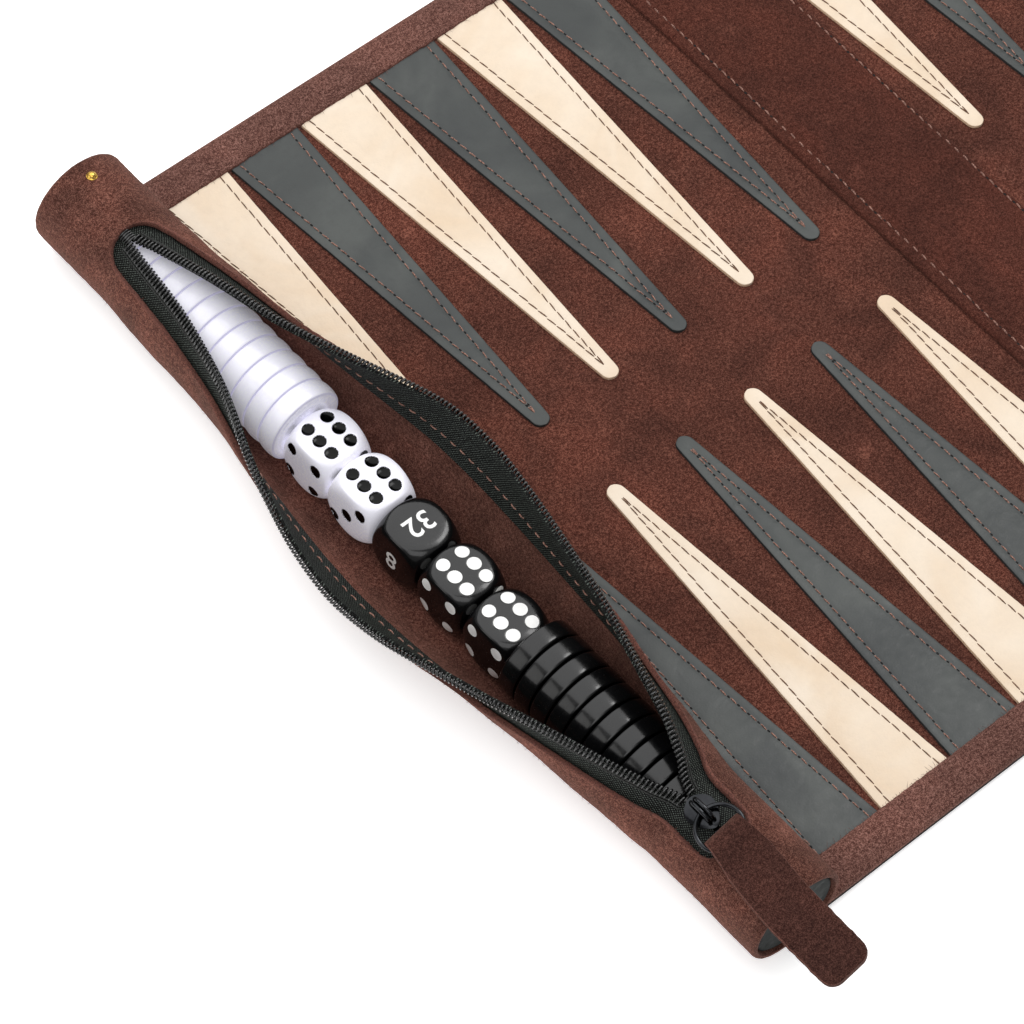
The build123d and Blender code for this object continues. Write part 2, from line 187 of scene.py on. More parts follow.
DISC_LOW, DISC_HIGH = span("near_end_disc")
TUBE_INNER_RADIUS = (DISC_HIGH[0] - DISC_LOW[0]) / 2
TUBE_OUTER_RADIUS = TUBE_INNER_RADIUS + SUEDE_WALL
TUBE_MID_RADIUS = TUBE_INNER_RADIUS + SUEDE_WALL / 2
TUBE_X = (DISC_LOW[0] + DISC_HIGH[0]) / 2
TUBE_Z = (DISC_LOW[2] + DISC_HIGH[2]) / 2
POUCH_NEAR_Y, POUCH_FAR_Y = (corner[1] for corner in span("pouch_base"))
WALL_LOW, WALL_HIGH = span("pouch_wall_left")
MOUTH_NEAR_Y = WALL_LOW[1] - 4.3
MOUTH_FAR_Y = WALL_HIGH[1] + 1.4
TEETH_NEAR_Y, TEETH_FAR_Y = (corner[1] for corner in span("zip_teeth_left"))
LIP_LENGTH = {side: TUBE_MID_RADIUS * (math.pi + side * SEAM_LEAN) for side in (LEFT, RIGHT)}
TAPE_RIM = {side: LIP_LENGTH[side] - 0.15 for side in (LEFT, RIGHT)}


# ---------------------------------------------------------------- materials
class Nodes:
    """Short calls for the shader nodes of one material."""

    def __init__(self, name):
        self.material = bpy.data.materials.new(name)
        self.material.use_nodes = True
        self.tree = self.material.node_tree
        self.place = self.tree.nodes.new("ShaderNodeTexCoord").outputs["Object"]

    def feed(self, socket, source):
        """Links a node's output to a socket, or sets the socket's own value."""
        if isinstance(source, bpy.types.NodeSocket):
            self.tree.links.new(source, socket)
        else:
            socket.default_value = (*source, 1.0) if socket.type == "RGBA" else source

    def put(self, kind, links, **settings):
        node = self.tree.nodes.new(kind)
        for key, value in settings.items():
            setattr(node, key, value)
        for socket, source in links.items():
            self.feed(node.inputs[socket], source)
        return node

    def noise(self, size, detail=2.0, rough=0.6, stretch=0.0):
        """Noise whose blobs are about `size` millimetres across."""
        links = {"Vector": self.place, "Scale": 1.0 / (size * MM), "Detail": detail,
                 "Roughness": rough, "Distortion": stretch}
        return self.put("ShaderNodeTexNoise", links).outputs["Fac"]

    def ramp(self, source, *stops):
        node = self.put("ShaderNodeValToRGB", {"Fac": source})
        elements = node.color_ramp.elements
        while len(elements) < len(stops):
            elements.new(0.5)
        for element, (place, colour) in zip(elements, stops):
            element.position = place
            element.color = (*colour, 1.0)
        return node.outputs["Color"]

    def grey(self, source, low, high, start=0.0, end=1.0):
        links = {"Value": source, "From Min": start, "From Max": end, "To Min": low, "To Max": high}
        return self.put("ShaderNodeMapRange", links).outputs["Result"]

    def mix(self, share, first, second, mode="MIX"):
        links = {0: share, 6: first, 7: second}
        return self.put("ShaderNodeMix", links, data_type="RGBA", blend_type=mode).outputs[2]

    def calc(self, operation, first, second):
        return self.put("ShaderNodeMath", {0: first, 1: second}, operation=operation).outputs[0]

    def add(self, *parts):
        """Adds two outputs, each times its share."""
        return self.calc("ADD", *(self.calc("MULTIPLY", part, share) for part, share in parts))

    def bump(self, height, depth, strength=1.0, under=None):
        links = {"Height": height, "Distance": depth * MM, "Strength": strength}
        if under is not None:
            links["Normal"] = under
        return self.put("ShaderNodeBump", links).outputs["Normal"]

    def set(self, **sockets):
        inputs = self.tree.nodes["Principled BSDF"].inputs
        for name, value in sockets.items():
            self.feed(inputs[name.replace("_", " ")], value)
        return self.material


def srgb(red, green, blue):
    """A colour given as 0-255 display values."""
    return tuple((value / 255.0) ** 2.2 for value in (red, green, blue))


def suede(name, dark, middle, light, mottle=0.55):
    """Brushed suede: speckled nap, soft blotches where the nap lies another way, pale worn specks."""
    n = Nodes(name)
    nap = n.noise(0.27, 3.0, 0.8)
    tufts = n.noise(0.75)
    patches = n.noise(12.0, 3.0, 0.55, stretch=0.5)
    clouds = n.noise(46.0, 2.0, 0.5)
    colour = n.ramp(n.add((nap, 0.74), (tufts, 0.26)), (0.4, dark), (0.5, middle), (0.61, light))
    specks = n.calc("MULTIPLY", n.noise(0.5, 1.0, 0.5), n.noise(7.0))
    colour = n.mix(n.grey(specks, 0.0, 0.4, 0.36, 0.46), colour, tuple(1.5 * c for c in light))
    deep = (1 - mottle * 0.5,) * 3
    pale = (1 + 0.62 * mottle, 1 + 0.5 * mottle, 1 + 0.46 * mottle)
    lie = n.add((patches, 0.55), (clouds, 0.45))
    shade = n.ramp(lie, (0.38, deep), (0.5, (0.98, 0.98, 0.98)), (0.66, pale))
    normal = n.bump(nap, 0.24, 0.8, n.bump(tufts, 0.3, 0.5))
    n.set(Base_Color=n.mix(1.0, colour, shade, "MULTIPLY"), Normal=normal)
    n.set(Roughness=n.grey(patches, 0.86, 1.0, 0.3, 0.7), Sheen_Weight=0.22, Sheen_Roughness=0.45)
    return n.set(Sheen_Tint=srgb(214, 165, 148), Specular_IOR_Level=0.1)


def leather(name, colour, deep, pale, gloss, dusty, shine=0.35):
    """Smooth leather: pores, faint wrinkles and slow colour drift; dusty is how far fibres fade."""
    n = Nodes(name)
    drift = n.noise(24.0, 3.0, 0.5, stretch=0.8)
    fibre = n.noise(2.2, 4.0, 0.65)
    cells = {"Vector": n.place, "Scale": 1.0 / (0.55 * MM)}
    pore = n.put("ShaderNodeTexVoronoi", cells).outputs["Distance"]
    tone = n.ramp(drift, (0.32, deep), (0.5, colour), (0.68, pale))
    speck = n.ramp(fibre, (0.3, (1 - dusty,) * 3), (0.55, (1.0, 1.0, 1.0)), (0.75, (1 + dusty / 2,) * 3))
    waves = n.noise(7.0, 1.0, 0.4, stretch=1.4)
    wrinkle = n.bump(waves, 0.5, 0.3, n.bump(drift, 0.9, 0.25))
    normal = n.bump(pore, 0.05, 0.35, n.bump(fibre, 0.12, 0.3, wrinkle))
    n.set(Base_Color=n.mix(1.0, tone, speck, "MULTIPLY"), Normal=normal, Specular_IOR_Level=shine)
    return n.set(Roughness=n.grey(fibre, gloss - 0.08, gloss + 0.1, 0.3, 0.7))


def fibres(name, dark, light, size, detail, rough, edge, dull, bump):
    """Loose or twisted fibres: a cut edge, or sewing thread."""
    n = Nodes(name)
    fibre = n.noise(size, detail, rough)
    n.set(Base_Color=n.ramp(fibre, (0.5 - edge, dark), (0.5 + edge, light)))
    return n.set(Roughness=n.grey(fibre, *dull), Normal=n.bump(fibre, *bump))


def raw_edge(name, dark, light):
    return fibres(name, dark, light, 0.35, 3.0, 0.8, 0.15, (0.85, 1.0), (0.2, 0.8))


def thread(name, dark, light):
    return fibres(name, dark, light, 0.3, 2.0, 0.7, 0.12, (0.5, 0.8), (0.08, 0.7))


def woven_tape(name):
    """Zip tape: a twill of fine black yarns, laid out by the tape's own length and width."""
    n = Nodes(name)
    flat = n.put("ShaderNodeUVMap", {}, uv_map="tape").outputs["UV"]
    ribs = []
    for angle in (35.0, -48.0):
        turned = n.put("ShaderNodeMapping", {"Vector": flat, "Rotation": (0, 0, math.radians(angle))})
        links = {"Vector": turned.outputs["Vector"], "Scale": 0.62, "Distortion": 1.2, "Detail": 1.0}
        ribs.append(n.put("ShaderNodeTexWave", links).outputs["Fac"])
    fuzz = n.noise(0.26, 3.0, 0.8)
    mixed = n.add((n.calc("MULTIPLY", *ribs), 0.3), (fuzz, 0.75))
    colour = n.ramp(mixed, (0.42, srgb(4, 4, 4)), (0.52, srgb(24, 26, 24)), (0.64, srgb(104, 112, 105)))
    n.set(Base_Color=colour, Roughness=n.grey(mixed, 0.75, 0.5))
    return n.set(Normal=n.bump(mixed, 0.22, 0.9), Specular_IOR_Level=0.2)


def smooth(name, colour, other, roughness, scratch=0.02, metallic=0.0, coat=0.0, glow=0.0, shine=0.5):
    """Moulded plastic or plated metal, with faint handling marks; glow is painted light, an even emission
    of the base colour.
    """
    n = Nodes(name)
    tone = n.ramp(n.noise(6.0, 3.0), (0.3, colour), (0.7, other))
    marks = n.noise(0.8, 4.0, 0.7)
    rough = n.grey(marks, roughness - 0.05, roughness + 0.09, 0.3, 0.7)
    n.set(Base_Color=tone, Roughness=rough, Normal=n.bump(marks, scratch, 0.25), Metallic=metallic)
    n.set(Emission_Color=colour, Emission_Strength=glow, Specular_IOR_Level=shine)
    return n.set(Coat_Weight=coat, Coat_Roughness=0.08)


def cloth_lining(name):
    n = Nodes(name)
    squares = {"Vector": n.place, "Scale": 1.0 / (0.5 * MM)}
    weave = n.put("ShaderNodeTexChecker", squares).outputs["Fac"]
    fuzz = n.noise(0.6, 2.0, 0.7)
    n.set(Base_Color=n.ramp(fuzz, (0.3, srgb(20, 17, 17)), (0.7, srgb(44, 38, 37))))
    normal = n.bump(n.add((weave, 0.4), (fuzz, 1.0)), 0.12, 0.7)
    return n.set(Roughness=n.grey(fuzz, 0.8, 0.95), Normal=normal)


SUEDE_BOARD = suede("suede_board", srgb(52, 28, 23), srgb(83, 49, 41), srgb(122, 80, 68))
# paler, more neutral suede for the folded hems: partly the hem's own tone, partly painted sheen on the
# folded edge
SUEDE_HEM_SHEEN = suede("suede_hem_sheen", srgb(60, 38, 34), srgb(100, 68, 61), srgb(148, 110, 100), 0.35)
SUEDE_BAR = suede("suede_bar", srgb(50, 27, 22), srgb(75, 43, 36), srgb(104, 65, 55), 0.4)
SUEDE_POUCH = suede("suede_pouch", srgb(55, 32, 28), srgb(90, 57, 49), srgb(138, 96, 84), 0.7)
SUEDE_TAB = suede("suede_tab", srgb(46, 28, 25), srgb(70, 45, 40), srgb(100, 68, 60), 0.45)
SUEDE_EDGE = raw_edge("suede_edge", srgb(58, 31, 26), srgb(132, 84, 72))
LIGHT_LEATHER = leather("light_leather", srgb(231, 212, 189), srgb(225, 202, 175), srgb(236, 220, 200),
                        0.5, 0.04)
LIGHT_EDGE = raw_edge("light_edge", srgb(206, 168, 132), srgb(238, 212, 180))
DARK_LEATHER = leather("dark_leather", srgb(66, 69, 68), srgb(57, 60, 60), srgb(77, 80, 78), 0.42, 0.12)
# a darker copy of the dark leather for the end discs: painted shade for the front-facing disc
DISC_LEATHER_SHADED = leather("disc_leather", srgb(40, 43, 42), srgb(33, 36, 35), srgb(48, 51, 49),
                       0.6, 0.1, 0.08)
DARK_EDGE = raw_edge("dark_edge", srgb(22, 23, 23), srgb(54, 56, 56))
ROSE_THREAD = thread("rose_thread", srgb(80, 50, 42), srgb(176, 132, 116))
BROWN_THREAD = thread("brown_thread", srgb(66, 42, 30), srgb(126, 90, 64))
# near-black for the needle holes: painted shade inside them
NEEDLE_HOLE_SHADE = smooth("needle_hole", srgb(14, 11, 10), srgb(24, 19, 17), 0.9)
TAPE = woven_tape("zip_tape")
TAPE_CORD = thread("tape_cord", srgb(12, 12, 12), srgb(58, 60, 57))
COIL = smooth("zip_coil", srgb(7, 7, 7), srgb(14, 14, 14), 0.14, coat=0.6)
GUNMETAL = smooth("gunmetal", srgb(42, 43, 45), srgb(60, 61, 63), 0.13, 0.006, metallic=1.0)
BRASS = smooth("brass", srgb(222, 178, 84), srgb(236, 198, 110), 0.2, 0.004, metallic=1.0)
# white checkers and dice glow a little: painted light that lifts them where the pouch shades them
WHITE_PLASTIC_GLOW = smooth("white_plastic", srgb(236, 235, 246), srgb(242, 241, 251), 0.24,
                       coat=0.3, glow=0.2)
BLACK_PLASTIC = smooth("black_plastic", srgb(13, 13, 14), srgb(20, 20, 21), 0.2, coat=0.3, shine=0.4)
# near-black paint of the white dice's pips, also laid on the black checkers' edge bands as painted shade
# between the discs
BLACK_PAINT_AND_GROOVE_SHADE = smooth("black_paint_and_groove_shade", srgb(4, 4, 4), srgb(9, 9, 9), 0.13, shine=0.17)
# darker white for the edges between stacked white checkers: painted shade, lifted again by a painted glow
WHITE_GROOVE_SHADE = smooth("white_groove_shade", srgb(186, 184, 203), srgb(202, 200, 217), 0.5, glow=0.35)
WHITE_PAINT = smooth("white_paint", srgb(244, 244, 242), srgb(252, 252, 250), 0.4)
LINING = cloth_lining("lining")


# ---------------------------------------------------------------- mesh making
def wobble(x, y, z):
    """Smooth noise from -1 to 1."""
    return noise.noise(Vector((x, y, z)))


def ease(value):
    value = np.clip(value, 0.0, 1.0)
    return value * value * (3 - 2 * value)


def bell(value, width):
    return math.exp(-((value / width) ** 2))


def turn(count):
    """Angles of a whole turn, in equal steps."""
    return np.arange(count) * 2 * math.pi / count


def rows_between(low, high, step):
    return np.linspace(low, high, max(2, round((high - low) / step) + 1))


class Shape:
    """Points in millimetres with faces, a material number per face, and a zip place per point."""

    def __init__(self):
        self.points = []
        self.faces = []
        self.marks = []
        self.places = []
        self.count = 0

    def add(self, points, faces, mark=MAIN, place=None):
        points = np.asarray(points, float).reshape(-1, 3)
        place = np.zeros((len(points), 2)) if place is None else np.asarray(place).reshape(-1, 2)
        self.faces += [[index + self.count for index in face] for face in faces]
        self.marks += [mark] * len(faces)
        self.points.append(points)
        self.places.append(place)
        self.count += len(points)

    def piece(self, name, *materials, sharp=50.0):
        mesh = bpy.data.meshes.new(name)
        mesh.from_pydata((np.concatenate(self.points) * MM).tolist(), [], self.faces)
        for material in materials:
            mesh.materials.append(material)
        mesh.polygons.foreach_set("material_index", self.marks)
        mesh.polygons.foreach_set("use_smooth", [True] * len(mesh.polygons))
        mesh.set_sharp_from_angle(angle=math.radians(sharp))
        mesh.update()
        return link(name, mesh)


def link(name, data):
    made = bpy.data.objects.new(name, data)
    bpy.context.scene.collection.objects.link(made)
    return made


def grid_faces(rows, columns, wrap=True, closed=False):
    """Quads of a grid of points; wrap joins last and first column, closed the rows."""
    faces = []
    for row in range(rows if closed else rows - 1):
        here = row * columns
        there = (row + 1) % rows * columns
        for column in range(columns if wrap else columns - 1):
            after = (column + 1) % columns
            faces.append([here + column, here + after, there + after, there + column])
    return faces


def end_faces(rows, columns):
    last = (rows - 1) * columns
    return [list(range(columns))[::-1], [last + column for column in range(columns)]]


def sweep(shape, loops, marks=None, places=None):
    """Joins closed loops of points, one behind the other, and closes both ends."""
    loops = np.asarray(loops, float)
    rows, columns = loops.shape[:2]
    faces = grid_faces(rows, columns)
    first = len(shape.marks)
    shape.add(loops, faces + end_faces(rows, columns), MAIN, places)
    if marks is not None:
        for index in range(len(faces)):
            shape.marks[first + index] = marks[index % columns]
    return shape


def lathe(shape, profile, place, segments=96, ragged=0.0):
    """Turns a closed profile of (radius, y) points round a line along Y."""
    x, y, z = place
    loops = []
    for angle in turn(segments):
        loop = [(x + r * math.sin(angle), y + rise, z + r * math.cos(angle)) for r, rise in profile]
        loops.append([nap_lift(point, ragged, place) for point in loop] if ragged else loop)
    shape.add(loops, grid_faces(segments, len(profile), closed=True))


def nap_lift(point, amount, centre, slack=0.0):
    """Pushes a point of the pouch in or out a little, like rough nap on slack suede."""
    x, y, z = point
    lift = slack * wobble(x * 0.05, y * 0.07, z * 0.05 + 3) + amount * wobble(x * 0.9, y * 0.9, z * 0.9)
    lift += 1.2 * amount * wobble(x * 0.11, y * 0.11, z * 0.11 + 7)
    away = math.hypot(x - centre[0], z - centre[2])
    return (x + lift * (x - centre[0]) / away, y, z + lift * (z - centre[2]) / away)


def tube(shape, path, radius, mark=MAIN, sides=8, closed=False, places=None):
    """A round wire or thread along a path; radius is one number or one for each point."""
    path = np.asarray(path, float)
    radii = np.broadcast_to(radius, len(path))
    ahead = np.roll(path, -1, axis=0) - np.roll(path, 1, axis=0)
    if not closed:
        ahead[0] = path[1] - path[0]
        ahead[-1] = path[-1] - path[-2]
    ahead /= np.linalg.norm(ahead, axis=1)[:, None]
    across = np.cross(ahead, (0.12, 0.08, 1.0))
    across /= np.linalg.norm(across, axis=1)[:, None]
    above = np.cross(across, ahead)
    angles = turn(sides)[None, :, None]
    ring = np.cos(angles) * across[:, None] + np.sin(angles) * above[:, None]
    faces = grid_faces(len(path), sides, closed=closed)
    if not closed:
        faces += end_faces(len(path), sides)
    shape.add(path[:, None] + radii[:, None, None] * ring, faces, mark, places)


def stitch(shape, start, end, up, radius, mark=MAIN, place=(0.0, 0.0)):
    """One stitch: a short thread that rises out of one needle hole and dives into the next."""
    start, end, up = np.array((start, end, up), float)
    shares, lifts, widths = np.array(STITCH_SHAPE).T[:, :, None]
    path = start + (end - start) * shares + up * lifts * radius
    tube(shape, path, radius * widths[:, 0], mark, 6, places=[place] * (6 * len(path)))


def needle_hole(shape, centre, mark):
    """A small oval dent where the thread goes in; its dark colour is painted shade inside the hole."""
    x, y, z = centre
    ring = [(x - 0.3 * math.sin(a), y + 0.42 * math.cos(a), z + 0.03) for a in turn(8)]
    floor = [(a, b, c - 0.12) for a, b, c in ring]
    shape.add(ring + floor, grid_faces(2, 8) + end_faces(2, 8), mark)


def hair(shape, root, way, reach, mark, place=(0.0, 0.0)):
    """One loose suede fibre that stands out of the nap and bends over."""
    bend = np.array([chance.uniform(-0.6, 0.6) for _ in range(3)])
    path = np.array([root - 0.1 * way, root + 0.5 * reach * way, root + reach * (way + bend)])
    path[:, 2] = np.maximum(path[:, 2], 0.1)
    tube(shape, path, [0.05, 0.045, 0.02], mark, 3, places=[place] * 9)


def settle(piece, body, node):
    """Fixes a piece to a body, and hides the CAD node that it stands for."""
    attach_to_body(piece, body)
    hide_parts(node)


# ---------------------------------------------------------------- board
Panel = namedtuple("Panel", "name low high near_body far_body")


def column_middle(column):
    low, high = span(f"points_{column:02d}")
    return (low[0] + high[0]) / 2


def board_panels():
    """The board from strip middle to strip middle, so that each panel spans one hinge."""
    middles = [column_middle(column) for column in range(1, 13)]
    bodies = ["root"] + [f"strip_{column:02d}" for column in range(2, 13)]
    middles.insert(6, 0.0)
    bodies.insert(6, "bar_strip")
    edges = [BOARD_START, *middles, BOARD_END]
    bodies = [bodies[0], *bodies, bodies[-1]]
    return [Panel(f"{i:02d}", edges[i], edges[i + 1], bodies[i], bodies[i + 1]) for i in range(14)]


PANELS = board_panels()


def attach(piece, panel):
    """Rides on the panel's body; a panel between two bodies is baked in place and rides on neither."""
    if panel.near_body == panel.far_body:
        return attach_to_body(piece, panel.near_body)
    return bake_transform(piece)


def frame_nodes(body, start):
    """Names of the CAD nodes of one body that start with some letters."""
    return [name for name in frame["record"]["behaviour"]["bodies"][body] if name.startswith(start)]


def hem_outline(x, side):
    """(y, z) round one folded hem, from the bottom out and up to the flat suede."""
    inner = POINT_BASE_Y + 0.22 * wobble(x * 0.55, side * 9.0, 3.0)
    inner += 0.16 * wobble(x * 1.7, side * 9.0, 5.0)
    top = HEM_TOP + 0.14 * wobble(x * 0.09, side * 4.0, 8.0) - 0.05
    edge = BOARD_HALF
    outline = [
        (edge - 0.7, LINING_TOP + 0.02), (edge - 0.2, LINING_TOP + 0.35), (edge, LINING_TOP + 0.9),
        (edge, 2.7), (edge - 0.2, 3.2), (edge - 0.75, top - 0.25), (edge - 1.6, top - 0.05),
        (edge - 3.5, top + 0.05), (edge - 6.0, top + 0.06), (inner + 1.3, top + 0.02),
        (inner + 0.5, top - 0.08), (inner + 0.12, top - 0.3), (inner, top - 0.6),
        (inner + 0.05, SUEDE_TOP + 0.1), (inner - 0.3, SUEDE_TOP),
    ]
    return [(side * y, z) for y, z in outline]


def make_board_suede(panel):
    """The brown suede of one panel, with both long edges folded over as hems."""
    flat_y = rows_between(POINT_BASE_Y - 1.5, -POINT_BASE_Y + 1.5, 2.4)
    under_y = rows_between(BOARD_HALF - 8, -BOARD_HALF + 8, 12.0)
    loops = []
    for x in rows_between(panel.low, panel.high, 0.75):
        loop = [(x, y, z) for y, z in hem_outline(x, 1)]
        loop += [(x, y, SUEDE_TOP + 0.16 * wobble(x * 0.03, y * 0.03, 1.7)) for y in flat_y]
        loop += [(x, y, z) for y, z in hem_outline(x, -1)[::-1]]
        loop += [(x, -y, LINING_TOP + 0.02) for y in under_y]
        loops.append(loop)
    marks = [MAIN] * len(loops[0])
    hem_count = len(hem_outline(0, 1))
    for index in range(hem_count - 1):
        mark = EDGE if index in HEM_EDGE_BANDS else HEM
        marks[index] = mark
        marks[hem_count + len(flat_y) + hem_count - 2 - index] = mark
    shape = sweep(Shape(), loops, marks)
    for side in (1, -1):
        for x in np.arange(panel.low + 0.5, panel.high - 0.5, 0.8):
            y, z = hem_outline(x, side)[HEM_EDGE_BANDS[0]]
            way = np.array((chance.uniform(-0.6, 0.6), -side * 0.8, 0.2))
            hair(shape, np.array((x, y, z)), way, chance.uniform(0.3, 1.1), HEM)
    return shape.piece(f"board_suede_{panel.name}", SUEDE_BOARD, SUEDE_EDGE, SUEDE_HEM_SHEEN)


def make_end_hem(panel):
    """The folded hem across the board's free end."""
    loops = []
    end = BOARD_END
    for y in rows_between(-POINT_BASE_Y - 0.5, POINT_BASE_Y + 0.5, 0.9):
        inner = end - END_HEM_WIDTH + 0.22 * wobble(y * 0.5, 2.0, 9.0)
        top = HEM_TOP + 0.1 * wobble(y * 0.08, 6.0, 2.0)
        outline = [
            (end - 0.4, SUEDE_TOP - 0.4), (end - 0.05, SUEDE_TOP + 0.2), (end - 0.2, top - 0.7),
            (end - 0.8, top - 0.25), (end - 1.8, top - 0.05), (end - 6.0, top),
            (inner + 0.5, top - 0.08), (inner + 0.1, top - 0.35), (inner, SUEDE_TOP - 0.2),
        ]
        loops.append([(x, y, z) for x, z in outline])
    piece = sweep(Shape(), loops).piece("board_end_hem", SUEDE_HEM_SHEEN)
    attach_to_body(piece, panel.near_body)


def make_lining(panel):
    half = BOARD_HALF - 0.25
    side = half + 0.12
    across = rows_between(-half, half, 8.0)
    loops = []
    for x in rows_between(panel.low, panel.high, 1.5):
        loop = [(x, y, 0.02) for y in across]
        loop += [(x, side, 0.25), (x, side, LINING_TOP - 0.2)]
        loop += [(x, y, LINING_TOP) for y in across[::-1]]
        loop += [(x, -side, LINING_TOP - 0.2), (x, -side, 0.25)]
        loops.append(loop)
    return sweep(Shape(), loops).piece(f"board_lining_{panel.name}", LINING)


def point_half_width(length):
    """Half the width of a leather point at a distance from its tip."""
    if length < POINT_TIP_RADIUS:
        return math.sqrt(max(POINT_TIP_RADIUS ** 2 - (POINT_TIP_RADIUS - length) ** 2, 0.0))
    share = (length - POINT_TIP_RADIUS) / (POINT_LENGTH - POINT_TIP_RADIUS)
    return POINT_TIP_RADIUS + share * (POINT_HALF_BASE - POINT_TIP_RADIUS)


def stitch_line_x(length):
    """Distance of the stitching from the point's middle."""
    return point_half_width(length) - STITCH_INSET


def leather_height(across, length):
    """Top of the leather: a groove along the stitching and a soft swell inside it."""
    line = stitch_line_x(length)
    groove = GROOVE_DEPTH * bell(across - line, GROOVE_WIDTH) if line > 0 else 0.0
    inside = max(line, 0.01)
    return LEATHER_TOP - groove + 0.16 * ease(1 - across / inside) * min(inside / 4.0, 1.0)


def half_point(shape, middle, side, way):
    """One half of a leather point: side is its hem, way the half nearer or further in X."""
    lengths = [0.03, 0.12, 0.3, 0.6, 1.0, 1.6, 2.3, *rows_between(3.0, POINT_LENGTH + 0.6, 1.1)]
    shares = (0, 0.1, 0.2, 0.3, 0.4, 0.48, 0.55, 0.61, 0.66, 0.71, 0.76, 0.81, 0.86, 0.91, 0.95)
    loops = []
    for length in lengths:
        half = point_half_width(length)
        y = side * (POINT_TIP_Y + length)
        nick = 0.05 * wobble(middle + way * 3, y * 0.9, side)
        half = max(half + nick * min(half, 1.0), 0.02)
        rounding = min(0.3, half * 0.4)
        flat = half - rounding
        section = [(share * flat, leather_height(share * flat, length)) for share in shares]
        section += [(flat, LEATHER_TOP - 0.02), (half - 0.3 * rounding, LEATHER_TOP - 0.1),
                    (half, LEATHER_TOP - 0.3), (half, SUEDE_TOP - 0.15), (0.0, SUEDE_TOP - 0.15)]
        loops.append([(middle + way * across, y, z) for across, z in section])
    marks = [MAIN] * len(loops[0])
    for index in (len(shares) + 1, len(shares) + 2):
        marks[index] = EDGE
    if way * side > 0:
        loops = [loop[::-1] for loop in loops]
        marks = marks[:-1][::-1] + marks[-1:]
    sweep(shape, loops, marks)


def point_thread(shape, middle, side, way, light):
    """The stitches along one half of a leather point; on dark leather the needle holes show."""
    first = STITCH_INSET + 1.6
    total = POINT_LENGTH + 0.3
    dash, radius, mark = (3.0, 0.15, 1) if light else (2.1, 0.17, 0)
    slant = np.array((0.1 * way * side, 0.0, 0.0))
    for index in range(int((total - first) / STITCH_PERIOD) + 1):
        start = first + index * STITCH_PERIOD
        ends = []
        for length in (start, min(start + dash, total)):
            across = max(stitch_line_x(length), 0.12) + chance.uniform(-0.07, 0.07)
            z = leather_height(across, length) + 0.02
            ends.append(np.array((middle + way * across, side * (POINT_TIP_Y + length), z)))
        stitch(shape, ends[0] - slant, ends[1] + slant, UP, radius, mark)
        gap = start + (dash + STITCH_PERIOD) / 2
        if not light and gap < total:
            across = max(stitch_line_x(gap), 0.1)
            y = side * (POINT_TIP_Y + gap)
            needle_hole(shape, (middle + way * across, y, leather_height(across, gap)), 2)


def make_points(panel, index):
    """The half points that lie on one panel, light and dark, and their stitching."""
    light = Shape()
    dark = Shape()
    sewing = Shape()
    replaced = []
    for column, way in ((index, 1), (index + 1, -1)):
        if column > 6:
            column -= 1
        if (index, way) in ((6, -1), (7, 1)) or not 1 <= column <= 12:
            continue
        replaced.append(f"points_{column:02d}")
        for side in (1, -1):
            is_light = (column % 2 == 1) == (side == 1)
            half_point(light if is_light else dark, column_middle(column), side, way)
            point_thread(sewing, column_middle(column), side, way, is_light)
    for shape, look, skins in (
        (light, "light", (LIGHT_LEATHER, LIGHT_EDGE)),
        (dark, "dark", (DARK_LEATHER, DARK_EDGE)),
    ):
        if not shape.points:
            continue
        piece = shape.piece(f"points_{look}_{panel.name}", *skins, sharp=40.0)
        attach(piece, panel)
        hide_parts(*replaced)
    if sewing.points:
        skins = (ROSE_THREAD, BROWN_THREAD, NEEDLE_HOLE_SHADE)
        attach(sewing.piece(f"point_stitches_{panel.name}", *skins), panel)


def make_bar_half(panel, x_edge):
    """Half of the raised suede strip over the board's middle, from x = 0 to its outer edge."""
    way = 1 if x_edge > 0 else -1
    top = SUEDE_TOP + BAR_RISE[way]
    loops = []
    for y in rows_between(-POINT_BASE_Y - 0.4, POINT_BASE_Y + 0.4, 1.2):
        edge = abs(x_edge) + 0.12 * wobble(y * 0.35, way * 3.0, 4.0)
        section = []
        for across in rows_between(0.0, edge - 1.0, 1.1):
            dent = 0.2 * bell(min(abs(way * across - row) for row in BAR_STITCH_ROWS), 0.8)
            lift = 0.14 * wobble(across * way * 0.05, y * 0.04, 2.0)
            section.append((across, top - dent + lift * ease(across / 5.0)))
        section += [(edge - 0.45, top - 0.06), (edge - 0.12, top - 0.28), (edge, top - 0.6),
                    (edge - 0.05, SUEDE_TOP - 0.2), (0.0, SUEDE_TOP - 0.2)]
        loops.append([(way * across, y, z) for across, z in section][::-way])
    piece = sweep(Shape(), loops).piece(f"bar_strip_{panel.name}", SUEDE_BAR)
    attach(piece, panel)
    sewing = Shape()
    row = next(row for row in BAR_STITCH_ROWS if row * way > 0)
    for y in np.arange(-POINT_BASE_Y + 1.0, POINT_BASE_Y - 3, STITCH_PERIOD):
        x = row + chance.uniform(-0.1, 0.1)
        stitch(sewing, (x - 0.12, y, top - 0.16), (x + 0.12, y + 1.9, top - 0.16), UP, 0.2)
        needle_hole(sewing, (x, y + 2.45, top - 0.18), 1)
    attach(sewing.piece(f"bar_stitches_{panel.name}", ROSE_THREAD, NEEDLE_HOLE_SHADE), panel)


def make_board():
    for index, panel in enumerate(PANELS):
        suede_piece = make_board_suede(panel)
        lining = make_lining(panel)
        nodes = [n for body in (panel.near_body, panel.far_body) for n in frame_nodes(body, "mat_")]
        for piece, hems, held, under in (
            (suede_piece, 2 * HEM_TURN, "folded", f"board_lining_{panel.name}"),
            (lining, 0.0, "laid", "mat_strip_01"),
        ):
            attach(piece, panel)
            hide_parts(*nodes)
        make_points(panel, index)
    make_end_hem(PANELS[13])
    make_bar_half(PANELS[6], BAR_LEFT_EDGE)
    make_bar_half(PANELS[7], BAR_RIGHT_EDGE)


